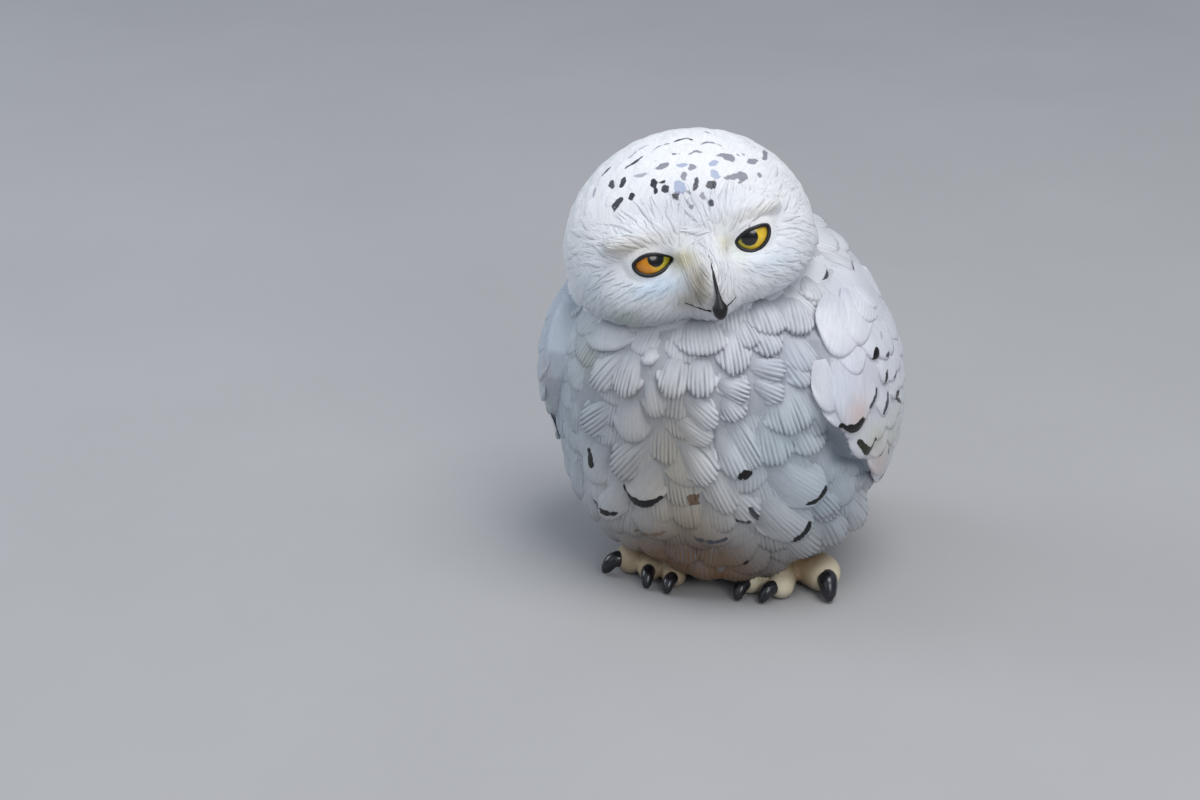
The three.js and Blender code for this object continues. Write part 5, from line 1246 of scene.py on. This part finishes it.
path = smooth_path(BILL, 60); rad = np.interp(np.linspace(0, 7, 60), np.arange(8), BILL_R)
rad = np.convolve(np.pad(rad, 2, mode="edge"), np.ones(5) / 5, "valid")
V_, Q_, T_ = tube(path, rad, 20, squash=1.0)
Q_, T_ = outward(V_ - V_.mean(0), Q_, T_)
bill = make_mesh("bill_ridge", from_head(V_), [Q_, T_], {}, None, rim_black)
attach(bill, "root"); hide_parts("bill")
for n, pts in enumerate(([(0.95, -17.0, 2.5), (0.62, -17.6, 1.7), (0.72, -17.9, 1.0), (0.5, -18.4, 0.2), (0.55, -19.0, -0.8)], [(-1.0, -18.6, -6.0), (-2.4, -17.8, -5.2), (-4.2, -16.9, -4.0)], [(1.2, -18.6, -5.9), (2.1, -18.0, -5.4), (3.0, -17.4, -4.9)])):
    line = smooth_path(pts, 24)
    lift = np.full(24, 0.05)
    W = on_head(line, lift)
    V_, Q_, T_ = tube(W, (np.linspace(0.05, 0.13, 24) if n == 0 else np.linspace(0.16, 0.06, 24)) * (1 + 0.25 * np.sin(np.arange(24) * 1.9)), 8)
    Q_, T_ = outward(V_ - V_.mean(0), Q_, T_)
    ob = make_mesh(f"gape_line_{n + 1}", V_, [Q_, T_], {}, None, black)
    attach(ob, "root")

# ------------------------------------------------------------------ claws
for foot in ("left", "right"):
    for i, toe in enumerate(FEET[foot]["toes"]):
        b, t, r = np.array(toe[4]), np.array(toe[5]), toe[6]
        back = unit(np.array(toe[0]) - np.array(toe[1])) * 0.6
        mid = (b + t) / 2 + np.array([0, 0, 0.55 * r])
        pth = smooth_path([b + back, b, mid, t + np.array([0, 0, 0.12])], 30)
        s_ = np.linspace(0, 1, 30)
        rd = r * (0.72 + 0.28 * np.sin(np.clip(s_ * 2.4, 0, 1) * math.pi / 2)) * np.sqrt(np.clip(1 - ((s_ - 0.38) / 0.64).clip(0) ** 2.2, 0.02, 1))
        rd = np.minimum(rd, np.maximum(pth[:, 2] - 0.05, 0.1))
        V_, Q_, T_ = tube(pth, rd, 18)
        V_[:, 2] = np.maximum(V_[:, 2], 0.04)
        Q_, T_ = outward(V_ - V_.mean(0), Q_, T_)
        ob = make_mesh(f"claw_{foot}_{i + 1}_horn", V_, [Q_, T_], {}, None, black)
        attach(ob, "root"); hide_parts(f"claw_{foot}_{i + 1}")

# small tufts over the toes
coat = Coat(lambda P: feet_field(P), "foot")
for foot, f in FEET.items():
    for a, b, ra, rb, *_ in f["toes"]:
        a, b = np.array(a), np.array(b); e = unit(b - a); L = np.linalg.norm(b - a)
        sidev = unit(np.cross(e, [0, 0, 1.0]))
        for k in range(15):
            s_ = rng.uniform(0.0, 0.85) * L; th = rng.uniform(-1.25, 1.25)
            n_ = math.cos(th) * np.array([0, 0, 1.0]) + math.sin(th) * sidev
            r_ = a + e * s_ + n_ * (ra + (rb - ra) * s_ / L)
            t_ = r_ + e * rng.uniform(1.3, 2.2) - np.array([0, 0, 0.25])
            if r_[2] < 0.9 or t_[2] < 0.6:
                continue
            n2 = unit(n_ - (n_ @ e) * e)
            coat.kind = "foot"
            L2 = np.linalg.norm(t_ - r_); axv = (t_ - r_) / L2; sv = unit(np.cross(n2, axv))
            lock(coat, r_, t_, rng.uniform(0.8, 1.1), 0.16, axv, sv)
coat.build("toe_tufts", cream, steps=3, limit=0.8)

# ------------------------------------------------------------------ floor, light, camera
def floor_paint():
    mat = bpy.data.materials.new("floor_grey"); nt = nodes_of(mat)
    out = node(nt, "ShaderNodeOutputMaterial"); bsdf = node(nt, "ShaderNodeBsdfPrincipled")
    nt.links.new(bsdf.outputs[0], out.inputs[0])
    tex = node(nt, "ShaderNodeTexCoord")
    n = node(nt, "ShaderNodeTexNoise", inputs={"Scale": 14.0, "Detail": 4.0, "Roughness": 0.55})
    nt.links.new(tex.outputs["Object"], n.inputs["Vector"])
    nt.links.new(mix(nt, n.outputs["Fac"], (0.37, 0.365, 0.37), (0.43, 0.425, 0.43)), bsdf.inputs["Base Color"])
    bsdf.inputs["Roughness"].default_value = 0.8
    return mat
s_ = 2600.0
floor = make_mesh("floor", np.array([(-s_, -s_, 0.0), (s_, -s_, 0.0), (s_, s_, 0.0), (-s_, s_, 0.0)]), [np.array([[0, 1, 2, 3]])], {}, None, floor_paint())

scene = bpy.context.scene
world = bpy.data.worlds.new("sky"); scene.world = world
world.use_nodes = True
wn = world.node_tree; bg = wn.nodes["Background"]
bg.inputs["Color"].default_value = (0.78, 0.87, 1.0, 1.0)
direction = node(wn, "ShaderNodeTexCoord"); part = node(wn, "ShaderNodeSeparateXYZ")
wn.links.new(direction.outputs["Generated"], part.inputs[0])
height = node(wn, "ShaderNodeMapRange", inputs={"From Min": 0.0, "From Max": 0.8, "To Min": 0.12, "To Max": 0.60})
wn.links.new(part.outputs["Z"], height.inputs[0]); wn.links.new(height.outputs[0], bg.inputs["Strength"])

# camera: the bearing, height and roll of the view, and where the middle of the owl falls in the frame
CAM_AZ, CAM_EL, CAM_ROLL, CAM_DISTANCE, CAM_FOCAL, CAM_TARGET, CAM_OFF = 15.0, 21.0, 1.5, 380.0, 2470.0, np.array([0, 0, 33.0]), (122.0, -38.0)
a, e, r = (math.radians(v) for v in (CAM_AZ, CAM_EL, CAM_ROLL))
back = np.array([math.sin(a) * math.cos(e), -math.cos(a) * math.cos(e), math.sin(e)])
right = np.array([math.cos(a), math.sin(a), 0.0]); up = np.cross(back, right)
right, up = right * math.cos(r) + up * math.sin(r), -right * math.sin(r) + up * math.cos(r)
t = unit(np.array([CAM_OFF[0] / CAM_FOCAL, -CAM_OFF[1] / CAM_FOCAL, -1.0]))
B0 = np.stack([right, up, back], 1); src = B0 @ t; dst = -back
v = np.cross(src, dst); c = src @ dst
K = np.array([[0, -v[2], v[1]], [v[2], 0, -v[0]], [-v[1], v[0], 0]])
B = (np.eye(3) + K + K @ K / (1 + c)) @ B0
pos = (CAM_TARGET + back * CAM_DISTANCE + SHIFT) * MM
cam = bpy.data.cameras.new("camera"); cam.sensor_width = 36.0; cam.lens = 36.0 * CAM_FOCAL / 1200.0
cam.clip_start = 0.01; cam.clip_end = 20.0
camera = bpy.data.objects.new("camera", cam); scene.collection.objects.link(camera)
from mathutils import Matrix, Vector
M = Matrix.Identity(4)
for i in range(3):
    for j in range(3):
        M[i][j] = float(B[i, j])
    M[i][3] = float(pos[i])
camera.matrix_world = M
scene.camera = camera

def lamp(name, at, to, size, power, colour):
    L = bpy.data.lights.new(name, "AREA"); L.shape = "DISK"; L.size = size; L.energy = power; L.color = colour
    ob = bpy.data.objects.new(name, L); scene.collection.objects.link(ob)
    ob.location = at
    ob.rotation_euler = (Vector(to) - Vector(at)).to_track_quat("-Z", "Y").to_euler()
    return ob
# a broad sky light from the upper right, a weak one from the front left, one from the front right, and one from the
# left side
lamp("key", (0.22, -0.16, 0.80), (0.0, 0.0, 0.035), 0.50, 3.62, (1.0, 0.985, 0.965))
lamp("front", (-0.25, -0.65, 0.35), (0.0, 0.0, 0.03), 0.5, 0.25, (0.86, 0.93, 1.0))
lamp("right", (0.42, -0.50, 0.40), (0.0, 0.0, 0.05), 0.35, 1.32, (1.0, 0.985, 0.97))
lamp("side", (-0.60, -0.05, 0.35), (0.0, 0.0, 0.035), 0.4, 1.15, (0.84, 0.92, 1.0))

scene.view_settings.view_transform = "Standard"

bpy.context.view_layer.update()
